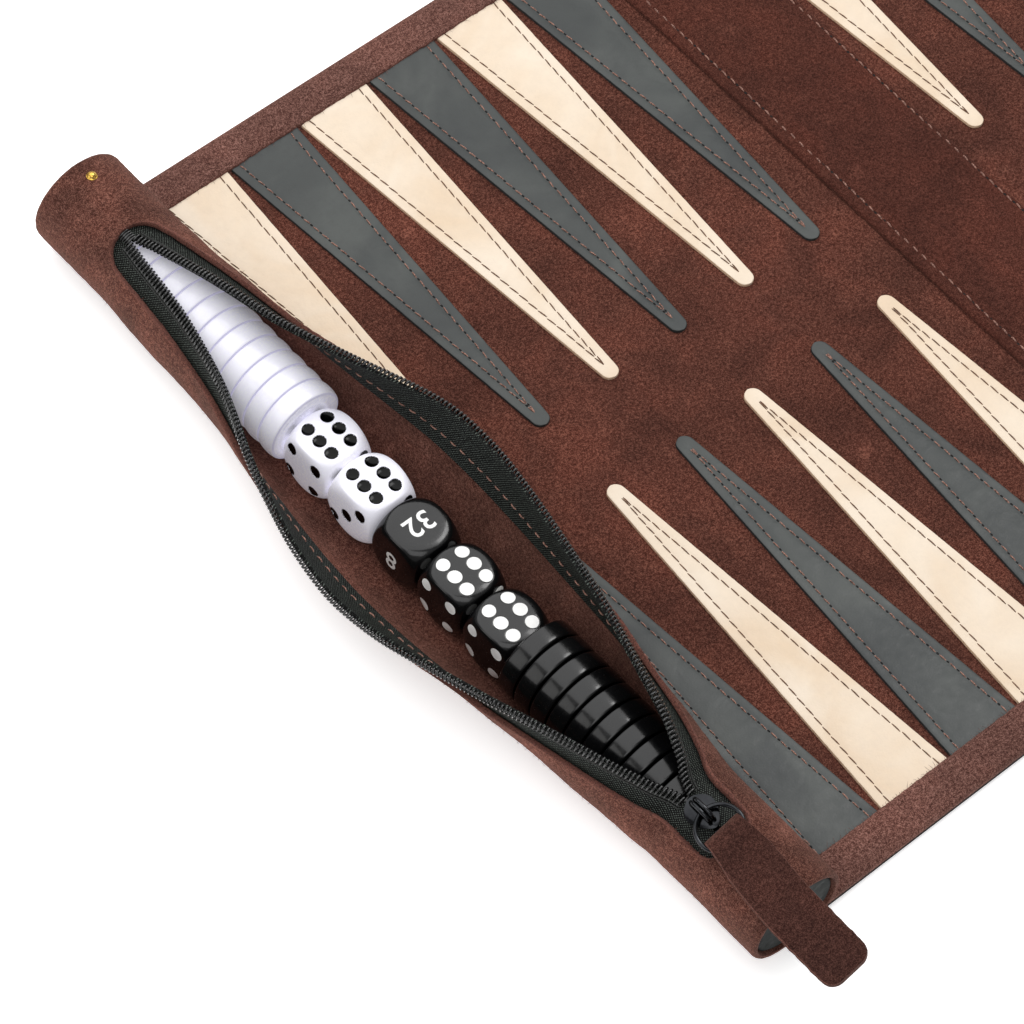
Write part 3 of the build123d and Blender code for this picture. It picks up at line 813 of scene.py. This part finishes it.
# ---------------------------------------------------------------- pouch
def lip_opening(side, y):
    """Smoothed opening of a lip at y: 0 where the pouch is closed, 1 where it lies flat open."""
    offsets = np.arange(-9, 10, 3)
    weights = np.exp(-((offsets / 6.0) ** 2))
    column = LIP_OPENING[:, 1 if side == LEFT else 2]
    smooth_opening = np.interp(y + offsets, LIP_OPENING[:, 0], column) @ weights / weights.sum()
    return smooth_opening * ease((y + 91.0) / 9.0) * ease((MOUTH_FAR_Y - y) / 9.0)


def lip_row(side, y, arcs, offsets):
    """Points of one lip at y, at arc lengths from the pouch's bottom, outside its middle by offsets."""
    opening = lip_opening(side, y)
    middle = np.arange(0.0, ARC_REACH, ARC_STEP) + ARC_STEP / 2
    leaning = LIP_LEAN[side] * ease((middle - FLOOR_HALF_WIDTH) / LEAN_ARC)
    angle = (1 - opening) * middle / TUBE_MID_RADIUS + opening * leaning
    x_path = np.concatenate(([0.0], np.cumsum(np.cos(angle)) * ARC_STEP))
    z_path = np.concatenate(([0.0], np.cumsum(np.sin(angle)) * ARC_STEP))
    marks = np.arange(len(x_path)) * ARC_STEP
    arcs = np.asarray(arcs, float)
    bend = np.interp(arcs, middle, angle)
    x = np.interp(arcs, marks, x_path) + np.sin(bend) * offsets
    z = np.interp(arcs, marks, z_path) - np.cos(bend) * offsets
    return np.stack([TUBE_X + side * x, np.full(len(arcs), y), TUBE_Z - TUBE_MID_RADIUS + z], axis=1)


def rim_frame(side, y, arc, offset):
    """A point on a lip with its directions: across the tape to the rim, out of it, and along it."""
    here = lip_row(side, y, [arc, arc + 0.4, arc], np.array([offset, offset, offset + 0.4]))
    ahead = lip_row(side, y + 0.4, [arc], offset)[0]
    ways = [(end - here[0]) / np.linalg.norm(end - here[0]) for end in (here[1], here[2], ahead)]
    return here[0], *ways


def close_with_zip(piece):
    """Bakes a piece of a lip in place; it does not turn with the zip."""
    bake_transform(piece)


def suede_edge_arc(side, y):
    """Arc length of the suede's cut edge: short of the zip, and meeting it round the slot's ends."""
    room = min(min(y - MOUTH_NEAR_Y, MOUTH_FAR_Y - y) / SLOT_END_RADIUS, 1.0)
    setback = SUEDE_SETBACK * math.sqrt(max(1 - (1 - room) ** 2, 0.0))
    ragged = 0.16 * wobble(y * 0.8, side * 5.0, 2.0) + 0.1 * wobble(y * 2.6, side, 6.0)
    return LIP_LENGTH[side] - max(setback, 0.02) + ragged * room


def lip_hairs(shape, side):
    """Fibres along the cut edge, then fibres all over the lip's outside."""
    half = SUEDE_WALL / 2
    for y in np.arange(MOUTH_NEAR_Y + 2.0, MOUTH_FAR_Y - 2.0, 0.55):
        arc = suede_edge_arc(side, y)
        root, across, out, along = rim_frame(side, y, arc, half - 0.3)
        way = 0.8 * across + chance.uniform(-0.1, 0.5) * out + chance.uniform(-0.8, 0.8) * along
        hair(shape, root, way, chance.uniform(0.3, 1.0), EDGE, (arc, y))
    for _ in range(POUCH_HAIRS):
        y = chance.uniform(MOUTH_NEAR_Y + 2.0, MOUTH_FAR_Y - 2.0)
        arc = chance.uniform(0.25, 0.97) * suede_edge_arc(side, y)
        root, across, out, along = rim_frame(side, y, arc, half)
        way = 0.55 * out + chance.uniform(-0.8, 0.8) * across + chance.uniform(-0.8, 0.8) * along
        hair(shape, root, way, chance.uniform(0.3, 0.8), MAIN, (arc, y))


def make_lip_suede(side):
    """Half of the pouch's suede between its closed ends, from the bottom middle to the cut edge."""
    half = SUEDE_WALL / 2
    near = MOUTH_NEAR_Y + SLOT_END_RADIUS
    far = MOUTH_FAR_Y - SLOT_END_RADIUS
    shares = np.concatenate([np.linspace(0, 0.9, 56), np.linspace(0.915, 1.0, 8)])
    ys = np.concatenate([np.linspace(MOUTH_NEAR_Y, near, 14)[:-1], rows_between(near, far, 0.8),
                         np.linspace(far, MOUTH_FAR_Y, 14)[1:]])
    offsets = np.concatenate([np.full(len(shares), half), [half - 0.12, half - 0.45]])
    loops = []
    places = []
    for y in ys:
        edge = suede_edge_arc(side, y)
        arcs = np.concatenate([shares * (edge - 0.3), [edge - 0.08, edge]])
        both = np.concatenate([arcs, arcs[::-1]])
        points = lip_row(side, y, both, np.concatenate([offsets, -offsets[::-1]]))
        slack = 0.55 * ease(min(y - MOUTH_NEAR_Y, MOUTH_FAR_Y - y) / 14.0)
        outside = points[: len(shares)]
        points[: len(shares)] = [nap_lift(point, 0.09, (TUBE_X, 0, TUBE_Z), slack) for point in outside]
        points[:, 2] = np.maximum(points[:, 2], 0.03)
        loops.append(points[::-side])
        places.append(np.stack([both, np.full(len(both), y)], axis=1))
    columns = len(loops[0])
    marks = [MAIN] * columns
    for index in range(len(shares) - 1, columns - len(shares) + 1):
        marks[index] = EDGE
    shape = sweep(Shape(), loops, marks, places)
    lip_hairs(shape, side)
    name = SIDE_NAMES[side]
    piece = shape.piece(f"pouch_lip_{name}", SUEDE_POUCH, SUEDE_EDGE, sharp=60.0)
    close_with_zip(piece)
    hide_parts(f"pouch_wall_{name}")


def make_pouch_end(name, y_mouth, y_end):
    """A closed end of the pouch: a suede tube with a softly rounded rim."""
    way = 1 if y_end > y_mouth else -1
    radius = TUBE_OUTER_RADIUS
    inner = TUBE_INNER_RADIUS
    length = abs(y_end - y_mouth)
    profile = [(inner, 0.0)] + [(radius, y) for y in rows_between(0.0, length - 1.0, 0.7)]
    profile += [(radius - 0.12, length - 0.5), (radius - 0.4, length - 0.12), (radius - 0.8, length),
                (inner + 0.15, length - 0.1), (inner, length - 0.5), (inner, length / 2)]
    profile = [(r, way * y) for r, y in profile][::way]
    shape = Shape()
    lathe(shape, profile, (TUBE_X, y_mouth, TUBE_Z), segments=150, ragged=0.09)
    shape.points[0][:, 2] = np.maximum(shape.points[0][:, 2], 0.03)
    piece = shape.piece(f"pouch_{name}_end", SUEDE_POUCH)
    settle(piece, "root", "pouch_base")


def make_end_disc(name, node):
    """A leather disc set into the pouch's end, a little domed, with a turned rim."""
    low, high = span(node)
    way = 1 if high[1] > 0 else -1
    outside = (POUCH_FAR_Y if way > 0 else -POUCH_NEAR_Y) - 0.7
    inside = outside - (high[1] - low[1])
    radius = TUBE_INNER_RADIUS - 0.35
    profile = [(0.001, inside), (radius, inside), (radius, outside - 0.6),
               (radius - 0.15, outside - 0.25), (radius - 0.5, outside - 0.05),
               (radius - 1.4, outside + 0.05), (radius - 2.0, outside - 0.05),
               (radius - 2.8, outside + 0.08), (0.001, outside + 0.25)]
    shape = Shape()
    lathe(shape, [(r, way * y) for r, y in profile][::way], (TUBE_X, 0.0, TUBE_Z), segments=72)
    # the disc's darker leather is painted shade
    piece = shape.piece(f"{name}_leather", DISC_LEATHER_SHADED)
    settle(piece, "root", node)


def make_tape(side):
    """One woven zip tape, thicker under the coil."""
    arcs = TAPE_RIM[side] - TAPE_DEPTHS
    both = np.concatenate([arcs, arcs[::-1]])
    thick = 0.5 + 0.21 * ease((3.9 - TAPE_DEPTHS) / 0.7)
    loops = []
    places = []
    for y in rows_between(MOUTH_NEAR_Y - 1.0, MOUTH_FAR_Y + 1.5, 1.0):
        outer = -0.92 + 0.05 * wobble(y * 0.2, side, 1.0)
        offsets = np.concatenate([np.full(len(arcs), outer), (outer - thick)[::-1]])
        loops.append(lip_row(side, y, both, offsets)[::-side])
        places.append(np.stack([both, np.full(len(both), y)], axis=1))
    shape = sweep(Shape(), loops, None, places)
    name = SIDE_NAMES[side]
    piece = shape.piece(f"tape_{name}", TAPE)
    layer = piece.data.uv_layers.new(name="tape")
    corners = np.zeros(len(piece.data.loops), int)
    piece.data.loops.foreach_get("vertex_index", corners)
    layer.data.foreach_set("uv", np.concatenate(places)[corners].astype(np.float32).ravel())
    close_with_zip(piece)
    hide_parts(f"zip_tape_{name}")


def make_coil(side):
    """The nylon coil along one tape: one rounded loop for each tooth, and its sewing."""
    arc = TAPE_RIM[side] - COIL_DEPTH
    radii = [part[3] for part in COIL_LOOP]
    shape = Shape()
    y = TEETH_NEAR_Y + 0.6
    while y < TEETH_FAR_Y - 0.4:
        middle, across, out, along = rim_frame(side, y, arc, -0.38)
        path = [middle + a * across + o * out + v * along for a, o, v, _ in COIL_LOOP]
        tube(shape, path, radii, 0, 7, places=[(arc, y)] * (7 * len(path)))
        ahead = rim_frame(side, y + 1.0, arc, -0.38)[0]
        y += COIL_PITCH / np.linalg.norm(ahead - middle)
    for depth, offset in ((2.3, -0.3), (3.0, -0.75)):
        arc = TAPE_RIM[side] - depth
        path = [rim_frame(side, y, arc, offset)[0] for y in rows_between(TEETH_NEAR_Y, TEETH_FAR_Y, 1.0)]
        tube(shape, path, 0.2, 1, 5, places=[(arc, point[1]) for point in path for _ in range(5)])
    name = SIDE_NAMES[side]
    piece = shape.piece(f"coil_{name}", COIL, TAPE_CORD, sharp=80.0)
    close_with_zip(piece)
    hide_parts(f"zip_teeth_{name}")


def make_tape_stitches(side):
    """The brown row that sews the tape to the suede, seen from inside the pouch."""
    arc = TAPE_RIM[side] - TAPE_STITCH_INSET
    sewing = Shape()
    y = MOUTH_NEAR_Y + 1.5
    while y < MOUTH_FAR_Y - 3.5:
        here, ahead = (lip_row(side, row, [arc], 0.0)[0] for row in (y, y + 1))
        reach = STITCH_PERIOD / np.linalg.norm(ahead - here)
        start, _, out, _ = rim_frame(side, y, arc + chance.uniform(-0.1, 0.1), -1.5)
        end = rim_frame(side, y + reach * 0.6, arc + chance.uniform(-0.1, 0.1), -1.5)[0]
        stitch(sewing, start, end, -out, 0.17, place=(arc, y))
        y += reach
    piece = sewing.piece(f"tape_stitches_{SIDE_NAMES[side]}", ROSE_THREAD)
    close_with_zip(piece)


def make_rivet():
    """Brass dome rivet on the pouch's far end, with a thin collar."""
    low, high = span("end_rivet")
    x, y, _ = (low + high) / 2
    base = 2 * TUBE_OUTER_RADIUS
    rise = high[2] - base
    profile = [(0.001, -1.0), (0.9, -1.0), (1.0, -0.1), (0.97, 0.12), (0.82, 0.2)]
    for angle in np.arange(1, 8) / 8 * math.pi / 2:
        profile.append((0.78 * math.cos(angle), 0.2 + (rise - 0.2) * math.sin(angle)))
    profile = [(RIVET_RADIUS * share, z) for share, z in profile] + [(0.001, rise)]
    shape = Shape()
    lathe(shape, profile, (0.0, 0.0, 0.0), segments=40)
    shape.points[0] = shape.points[0][:, [0, 2, 1]] + (x, y, base)
    shape.faces = [face[::-1] for face in shape.faces]
    settle(shape.piece("rivet_dome", BRASS), "root", "end_rivet")


# ---------------------------------------------------------------- slider, ring and tab
def seam_place(points):
    """Moves points built as (across, y, radius over the pouch's axis) to the zip seam."""
    across, y, radius = np.asarray(points, float).reshape(-1, 3).T
    x = TUBE_X + across * math.cos(SEAM_LEAN) - radius * math.sin(SEAM_LEAN)
    z = TUBE_Z + across * math.sin(SEAM_LEAN) + radius * math.cos(SEAM_LEAN)
    return np.stack([x, y, z], axis=1)


def slider_outline(front, length, half_front, half_rear):
    """Pear outline of a slider plate, round at the front and narrower behind."""
    points = []
    for angle in turn(40):
        forward = (1 + math.cos(angle)) / 2
        half = half_rear + (half_front - half_rear) * ease(forward * 1.1)
        x = half * math.sin(angle) * (1 + 0.18 * math.sin(angle) ** 2)
        points.append((x, front - length * (1 - forward)))
    return points


def make_slider():
    """Two pear plates, the bridge over the upper one, and the rail that joins them."""
    low, high = span("zip_slider")
    front = high[1]
    length = high[1] - low[1]
    middle = front - length / 2
    shape = Shape()
    for base, top, dome, inset in SLIDER_PLATES:
        outline = slider_outline(front, length, 3.5 - inset, 2.5)
        rims = ((0.88, base), (0.98, base + 0.08), (1.0, base + 0.3), (0.98, top - 0.08), (0.9, top),
                (0.6, top + dome * 0.7), (0.2, top + dome))
        loops = [[(x * share, middle + (y - middle) * share, z) for x, y in outline] for share, z in rims]
        plate = sweep(Shape(), loops)
        shape.add(seam_place(plate.points[0]), plate.faces)
    for across in BRIDGE_WIRES:
        arch = [(across, middle + BRIDGE_HALF_LENGTH * math.cos(angle),
                 BRIDGE_FOOT + BRIDGE_RISE * math.sin(angle) ** 0.55)
                for angle in math.pi * np.arange(17) / 16]
        tube(shape, seam_place(arch), 0.52, MAIN, 10)
    rail = [(0.0, front - 1.0, 10.0), (0.0, front - 1.6, 11.4), (0.0, front - 1.0, 12.9)]
    tube(shape, seam_place(rail), 0.7, MAIN, 10)
    settle(shape.piece("slider_body", GUNMETAL), "slider", "zip_slider")


def make_stops():
    """The last loops of coil, which hold both tapes together at the zip's two ends."""
    shape = Shape()
    far_rows = [TEETH_FAR_Y + 0.1 + STOP_PITCH * step for step in range(STOP_COUNT)]
    for y in [MOUTH_NEAR_Y + 1.0] + far_rows:
        bar = [(across, y, STOP_RADIUS + 0.25 * math.cos(across))
               for across in np.linspace(-1.5, 1.5, len(STOP_RADII))]
        tube(shape, seam_place(bar), STOP_RADII, MAIN, 10)
    piece = shape.piece("stop_loops", COIL)
    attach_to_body(piece, "root")
    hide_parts("zip_stops")


def make_ring():
    low, high = span("pull_ring")
    middle = (low[1] + high[1]) / 2
    radius = (high[1] - low[1]) / 2 - 0.95
    circle = [(radius * math.sin(a), middle + radius * math.cos(a), RING_HEIGHT) for a in turn(72)]
    shape = Shape()
    tube(shape, seam_place(circle), 0.5, MAIN, 12, closed=True)
    settle(shape.piece("ring_wire", GUNMETAL), "ring", "pull_ring")


def make_tab():
    """Suede strap folded over the ring: two layers, the ring's lower half between them."""
    ring_low, ring_high = span("pull_ring")
    fold = (ring_low[1] + ring_high[1]) / 2 - 0.2
    length = fold - span("pull_tab")[0][1]
    straight = length - TAB_CORNER
    steps = np.concatenate([[0.0, 0.25, 0.7, 1.4], rows_between(2.0, straight, 0.8),
                            straight + TAB_CORNER * np.sin(np.linspace(0.12, 1.56, 10))])
    loops = []
    for along in steps:
        y = fold - along
        half = 4.75 + 1.25 * ease(along / 12.0)
        cut = TAB_CORNER - (length - along)
        if cut > 0:
            half -= TAB_CORNER - math.sqrt(max(TAB_CORNER ** 2 - cut ** 2, 0.0))
        half += 0.14 * wobble(y * 0.6, 3.0, 3.0) + 0.08 * wobble(y * 2.0, 8.0, 3.0)
        gap = 1 - ease((along - 4.0) / 5.0)
        thick = (1.05 + gap) * math.sqrt(min((along + 0.15) / 1.6, 1.0))
        drift = TAB_DRIFT * ease(along / 26.0)
        middle = RING_HEIGHT - 0.15 + 0.2 * ease(along / 8.0) + 0.55 * wobble(y * 0.05, 1.0, 4.0)
        loop = []
        for share in TAB_TOP:
            drop = 3.0 * max(abs(share) - 0.9, 0.0)
            wave = 0.1 * wobble(share * 2.0, y * 0.3, 5.0)
            loop.append((share * half + drift, y, middle + thick - drop + wave))
        loop += [(share * half + drift, y, middle + level * thick) for share, level in TAB_UNDER]
        loops.append(loop[::-1])
    marks = [EDGE if index in TAB_EDGE_BANDS else MAIN for index in range(len(loops[0]))]
    strap = sweep(Shape(), loops, marks)
    strap.points[0] = seam_place(strap.points[0])
    piece = strap.piece("tab_strap", SUEDE_TAB, SUEDE_EDGE, sharp=70.0)
    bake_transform(piece)
    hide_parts("pull_tab")


# ---------------------------------------------------------------- playing pieces
def checker_profile(thickness, radius, barrel):
    """Half section of a checker: rounded rim, a thin turned groove and a shallow dish on each face."""
    half = thickness / 2
    side = [(0.001, half - 0.42), (5.6, half - 0.36), (6.2, half - 0.12), (6.6, half - 0.02),
            (7.3, half), (7.6, half - 0.12), (7.9, half), (radius - CHECKER_BEVEL, half)]
    for angle in np.arange(1, 6) / 6 * math.pi / 2:
        out = (CHECKER_BEVEL - barrel) * math.sin(angle)
        side.append((radius - CHECKER_BEVEL + out, half - 0.7 + 0.7 * math.cos(angle)))
    side += [(radius - barrel, half - 0.75), (radius - barrel * 0.25, half * 0.4)]
    return side + [(radius, 0.0)] + [(r, -y) for r, y in side[::-1]]


def make_checker(body, node):
    """One checker, or the stack of eight that stays under a closed end of the pouch."""
    white = "white" in node
    low, high = span(node)
    x, middle, z = (low + high) / 2
    count = STACK_COUNT if "rest" in node else 1
    pitch = (high[1] - low[1] - WHITE_CHECKER[0]) / (STACK_COUNT - 1)
    thickness, barrel = WHITE_CHECKER if white else BLACK_CHECKER
    profile = checker_profile(thickness, (high[2] - low[2]) / 2, barrel)
    shape = Shape()
    for index in range(count):
        lathe(shape, profile, (x, middle + (index - (count - 1) / 2) * pitch, z))
    # the rim edges between stacked checkers take the second material, painted shade between the discs
    shape.marks = [int(face % len(profile) in CHECKER_GROOVE_SHADE_BANDS) for face in range(len(shape.faces))]
    skins = (WHITE_PLASTIC_GLOW, WHITE_GROOVE_SHADE) if white else (BLACK_PLASTIC, BLACK_PAINT_AND_GROOVE_SHADE)
    piece = shape.piece(node.replace("checker", "disc"), *skins)
    settle(piece, body, node)


def make_checkers():
    for body in sorted(frame["record"]["behaviour"]["bodies"]):
        for node in frame_nodes(body, "checker"):
            make_checker(body, node)


def die_radius(directions, half):
    """Distance to the surface of a cube rounded by a ball, in given directions."""
    cube = half / np.abs(directions).max(axis=-1)
    return (cube ** -DIE_EDGE_POWER + DIE_ROUNDING ** -DIE_EDGE_POWER) ** (-1 / DIE_EDGE_POWER)


FACE_AXES = {
    "top": ((1, 0, 0), (0, 1, 0), (0, 0, 1)),
    "bottom": ((1, 0, 0), (0, -1, 0), (0, 0, -1)),
    "left": ((0, 0, 1), (0, 1, 0), (-1, 0, 0)),
    "right": ((0, 0, -1), (0, 1, 0), (1, 0, 0)),
    "far": ((1, 0, 0), (0, 0, -1), (0, 1, 0)),
    "near": ((1, 0, 0), (0, 0, 1), (0, -1, 0)),
}
PIPS = {
    1: [(0, 0)],
    2: [(-1, -1), (1, 1)],
    3: [(-1, 1), (0, 0), (1, -1)],
    4: [(-1, -1), (-1, 1), (1, -1), (1, 1)],
    5: [(-1, -1), (-1, 1), (0, 0), (1, -1), (1, 1)],
    6: [(-0.7, -1), (-0.7, 0), (-0.7, 1), (0.7, -1), (0.7, 0), (0.7, 1)],
}


def cube_points(half, face, a, b):
    """Points of the rounded cube over places (a, b) on one of its faces, and the way out of it."""
    right, up, out = np.array(FACE_AXES[face], float)
    raw = a[..., None] * right + b[..., None] * up + half * out
    directions = raw / np.linalg.norm(raw, axis=-1)[..., None]
    return directions * die_radius(directions, half)[..., None], out


def pip_rings(half, face, x, y, white):
    """A painted pip: a bowl on a white die, a slight dome on a black one."""
    rings = []
    for share in PIP_RINGS:
        radius = PIP_RADIUS * share
        a = x + radius * np.cos(turn(PIP_SIDES))
        b = y + radius * np.sin(turn(PIP_SIDES))
        ring, out = cube_points(half, face, a, b)
        depth = 0.42 * math.sqrt(1 - share ** 2) if white else 0.02 + 0.05 * (1 - share ** 6)
        rings.append(ring - out * (depth - 0.015))
    return np.concatenate(rings)


def make_die(node, white, numbers):
    """A rounded die; numbers gives the pips of each face, or none for the doubling cube."""
    low, high = span(node)
    centre = (low + high) / 2
    half = (high[2] - low[2]) / 2
    places = half * np.tan(np.linspace(-1, 1, DIE_CELLS + 1) * math.pi / 4)
    a, b = np.meshgrid(places, places, indexing="ij")
    body = Shape()
    pips = Shape()
    pip_faces = grid_faces(len(PIP_RINGS), PIP_SIDES) + end_faces(len(PIP_RINGS), PIP_SIDES)[1:]
    for face in FACE_AXES:
        points, out = cube_points(half, face, a, b)
        for column, row in PIPS.get(numbers.get(face, 0), []):
            x = column * PIP_STEP
            y = row * PIP_STEP
            away = np.hypot(a - x, b - y)
            points -= out * PIP_RECESS * (1 - ease((away - PIP_RADIUS + PIP_BLUR) / PIP_BLUR))[..., None]
            pips.add(pip_rings(half, face, x, y, white) + centre, pip_faces)
        body.add(points.reshape(-1, 3) + centre, grid_faces(DIE_CELLS + 1, DIE_CELLS + 1, wrap=False))
    piece = body.piece(f"{node}_body", WHITE_PLASTIC_GLOW if white else BLACK_PLASTIC, sharp=70.0)
    merge(piece)
    settle(piece, node, node)
    if pips.points:
        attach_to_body(pips.piece(f"{node}_pips", BLACK_PAINT_AND_GROOVE_SHADE if white else WHITE_PAINT), node)


def merge(piece):
    """Joins the shared edges of a cube's six faces."""
    work = bmesh.new()
    work.from_mesh(piece.data)
    bmesh.ops.remove_doubles(work, verts=work.verts, dist=0.01 * MM)
    bmesh.ops.recalc_face_normals(work, faces=work.faces)
    work.to_mesh(piece.data)
    work.free()
    piece.data.polygons.foreach_set("use_smooth", [True] * len(piece.data.polygons))


def make_numbers():
    """Raised white numbers on the doubling cube, wrapped onto its rounded faces."""
    low, high = span("doubling_cube")
    centre = (low + high) / 2
    half = (high[2] - low[2]) / 2
    shape = Shape()
    sides = (("top", "32", (-1, 0)), ("left", "8", (0, 1)), ("right", "4", (0, 1)),
             ("far", "16", (1, 0)), ("near", "64", (1, 0)), ("bottom", "2", (1, 0)))
    for face, text, (right_a, right_b) in sides:
        curve = bpy.data.curves.new(f"number_{text}", "FONT")
        curve.body = text
        curve.size = NUMBER_SIZE
        curve.align_x = "CENTER"
        curve.align_y = "CENTER"
        curve.offset = 0.08
        curve.resolution_u = 6
        holder = link(f"number_{text}", curve)
        flat = bpy.data.meshes.new_from_object(holder)
        raw = np.array([vertex.co[:2] for vertex in flat.vertices])
        raw -= (raw.max(axis=0) + raw.min(axis=0)) / 2
        a = raw[:, 0] * right_a - raw[:, 1] * right_b
        b = raw[:, 0] * right_b + raw[:, 1] * right_a
        points, out = cube_points(half, face, a, b)
        shape.add(points + out * 0.04 + centre, [list(polygon.vertices) for polygon in flat.polygons])
        bpy.data.objects.remove(holder)
        bpy.data.curves.remove(curve)
        bpy.data.meshes.remove(flat)
    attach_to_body(shape.piece("doubling_cube_numbers", WHITE_PAINT), "doubling_cube")


def make_dice():
    four_left = {"top": 6, "bottom": 1, "left": 4, "right": 3, "far": 5, "near": 2}
    three_left = four_left | {"left": 3, "right": 4}
    make_die("die_white_1", True, four_left)
    make_die("die_white_2", True, three_left)
    make_die("doubling_cube", False, {})
    make_die("die_black_1", False, four_left)
    make_die("die_black_2", False, four_left)
    make_numbers()


# ---------------------------------------------------------------- studio
# soft boxes: name, place and size in metres, watts, colour
LIGHTS = (
    ("left_box", (-1.15, 0.4, 0.5), (0.55, 0.9), 1.7, (1.0, 0.99, 0.97)),
    ("right_box", (0.62, 0.08, 1.0), (0.35, 0.6), 4.0, (1.0, 0.99, 0.98)),
    ("top_box", (-0.05, 0.5, 0.95), (1.5, 1.5), 10.5, (1.0, 1.0, 1.0)),
    ("front_fill", (-0.75, -0.6, 1.2), (1.0, 1.0), 5.0, (1.0, 1.0, 1.0)),
)
LIGHT_AIM = Vector((-0.15, 0.0, 0.0))
FLOOR_SIZE = 6000.0
FLOOR_GLOW = 0.5
WORLD_STRENGTH = 0.28


def aim(thing, sight, roll=0.0):
    thing.rotation_mode = "QUATERNION"
    turned = Quaternion((0, 0, 1), math.radians(roll))
    thing.rotation_quaternion = sight.to_track_quat("-Z", "Y") @ turned


def make_camera():
    data = bpy.data.cameras.new("camera")
    data.lens = CAMERA_LENS
    data.sensor_width = 36.0
    data.clip_start = 0.05
    data.clip_end = 20.0
    camera = link("camera", data)
    camera.location = metres(CAMERA_PLACE)
    aim(camera, metres(CAMERA_TARGET) - metres(CAMERA_PLACE), CAMERA_ROLL)
    bpy.context.scene.camera = camera


def make_studio():
    n = Nodes("floor")
    tone = n.ramp(n.noise(400.0, 1.0, 0.5), (0.0, (0.93, 0.93, 0.93)), (1.0, (0.95, 0.95, 0.95)))
    n.set(Base_Color=tone, Roughness=0.9, Emission_Color=(1.0, 1.0, 1.0), Emission_Strength=FLOOR_GLOW)
    floor = Shape()
    corners = [(FLOOR_SIZE * x, FLOOR_SIZE * y, 0) for x, y in ((-1, -1), (1, -1), (1, 1), (-1, 1))]
    floor.add(corners, [[0, 1, 2, 3]])
    floor.piece("floor", n.material)
    world = bpy.data.worlds.new("studio")
    bpy.context.scene.world = world
    world.use_nodes = True
    background = world.node_tree.nodes["Background"]
    background.inputs["Color"].default_value = (1.0, 1.0, 1.0, 1.0)
    background.inputs["Strength"].default_value = WORLD_STRENGTH
    for name, place, size, watts, colour in LIGHTS:
        data = bpy.data.lights.new(name, "AREA")
        data.shape = "RECTANGLE"
        data.size, data.size_y = size
        data.energy = watts
        data.color = colour
        lamp = link(name, data)
        lamp.location = place
        aim(lamp, LIGHT_AIM - Vector(place))
    bpy.context.scene.view_settings.view_transform = "Standard"


# ---------------------------------------------------------------- everything
make_camera()
make_studio()
make_board()
for lip in (LEFT, RIGHT):
    make_lip_suede(lip)
    make_tape(lip)
    make_coil(lip)
    make_tape_stitches(lip)
make_pouch_end("far", MOUTH_FAR_Y, POUCH_FAR_Y)
make_pouch_end("near", MOUTH_NEAR_Y, POUCH_NEAR_Y)
make_end_disc("far_disc", "far_end_disc")
make_end_disc("near_disc", "near_end_disc")
make_rivet()
make_slider()
make_ring()
make_tab()
make_checkers()
make_dice()
make_stops()
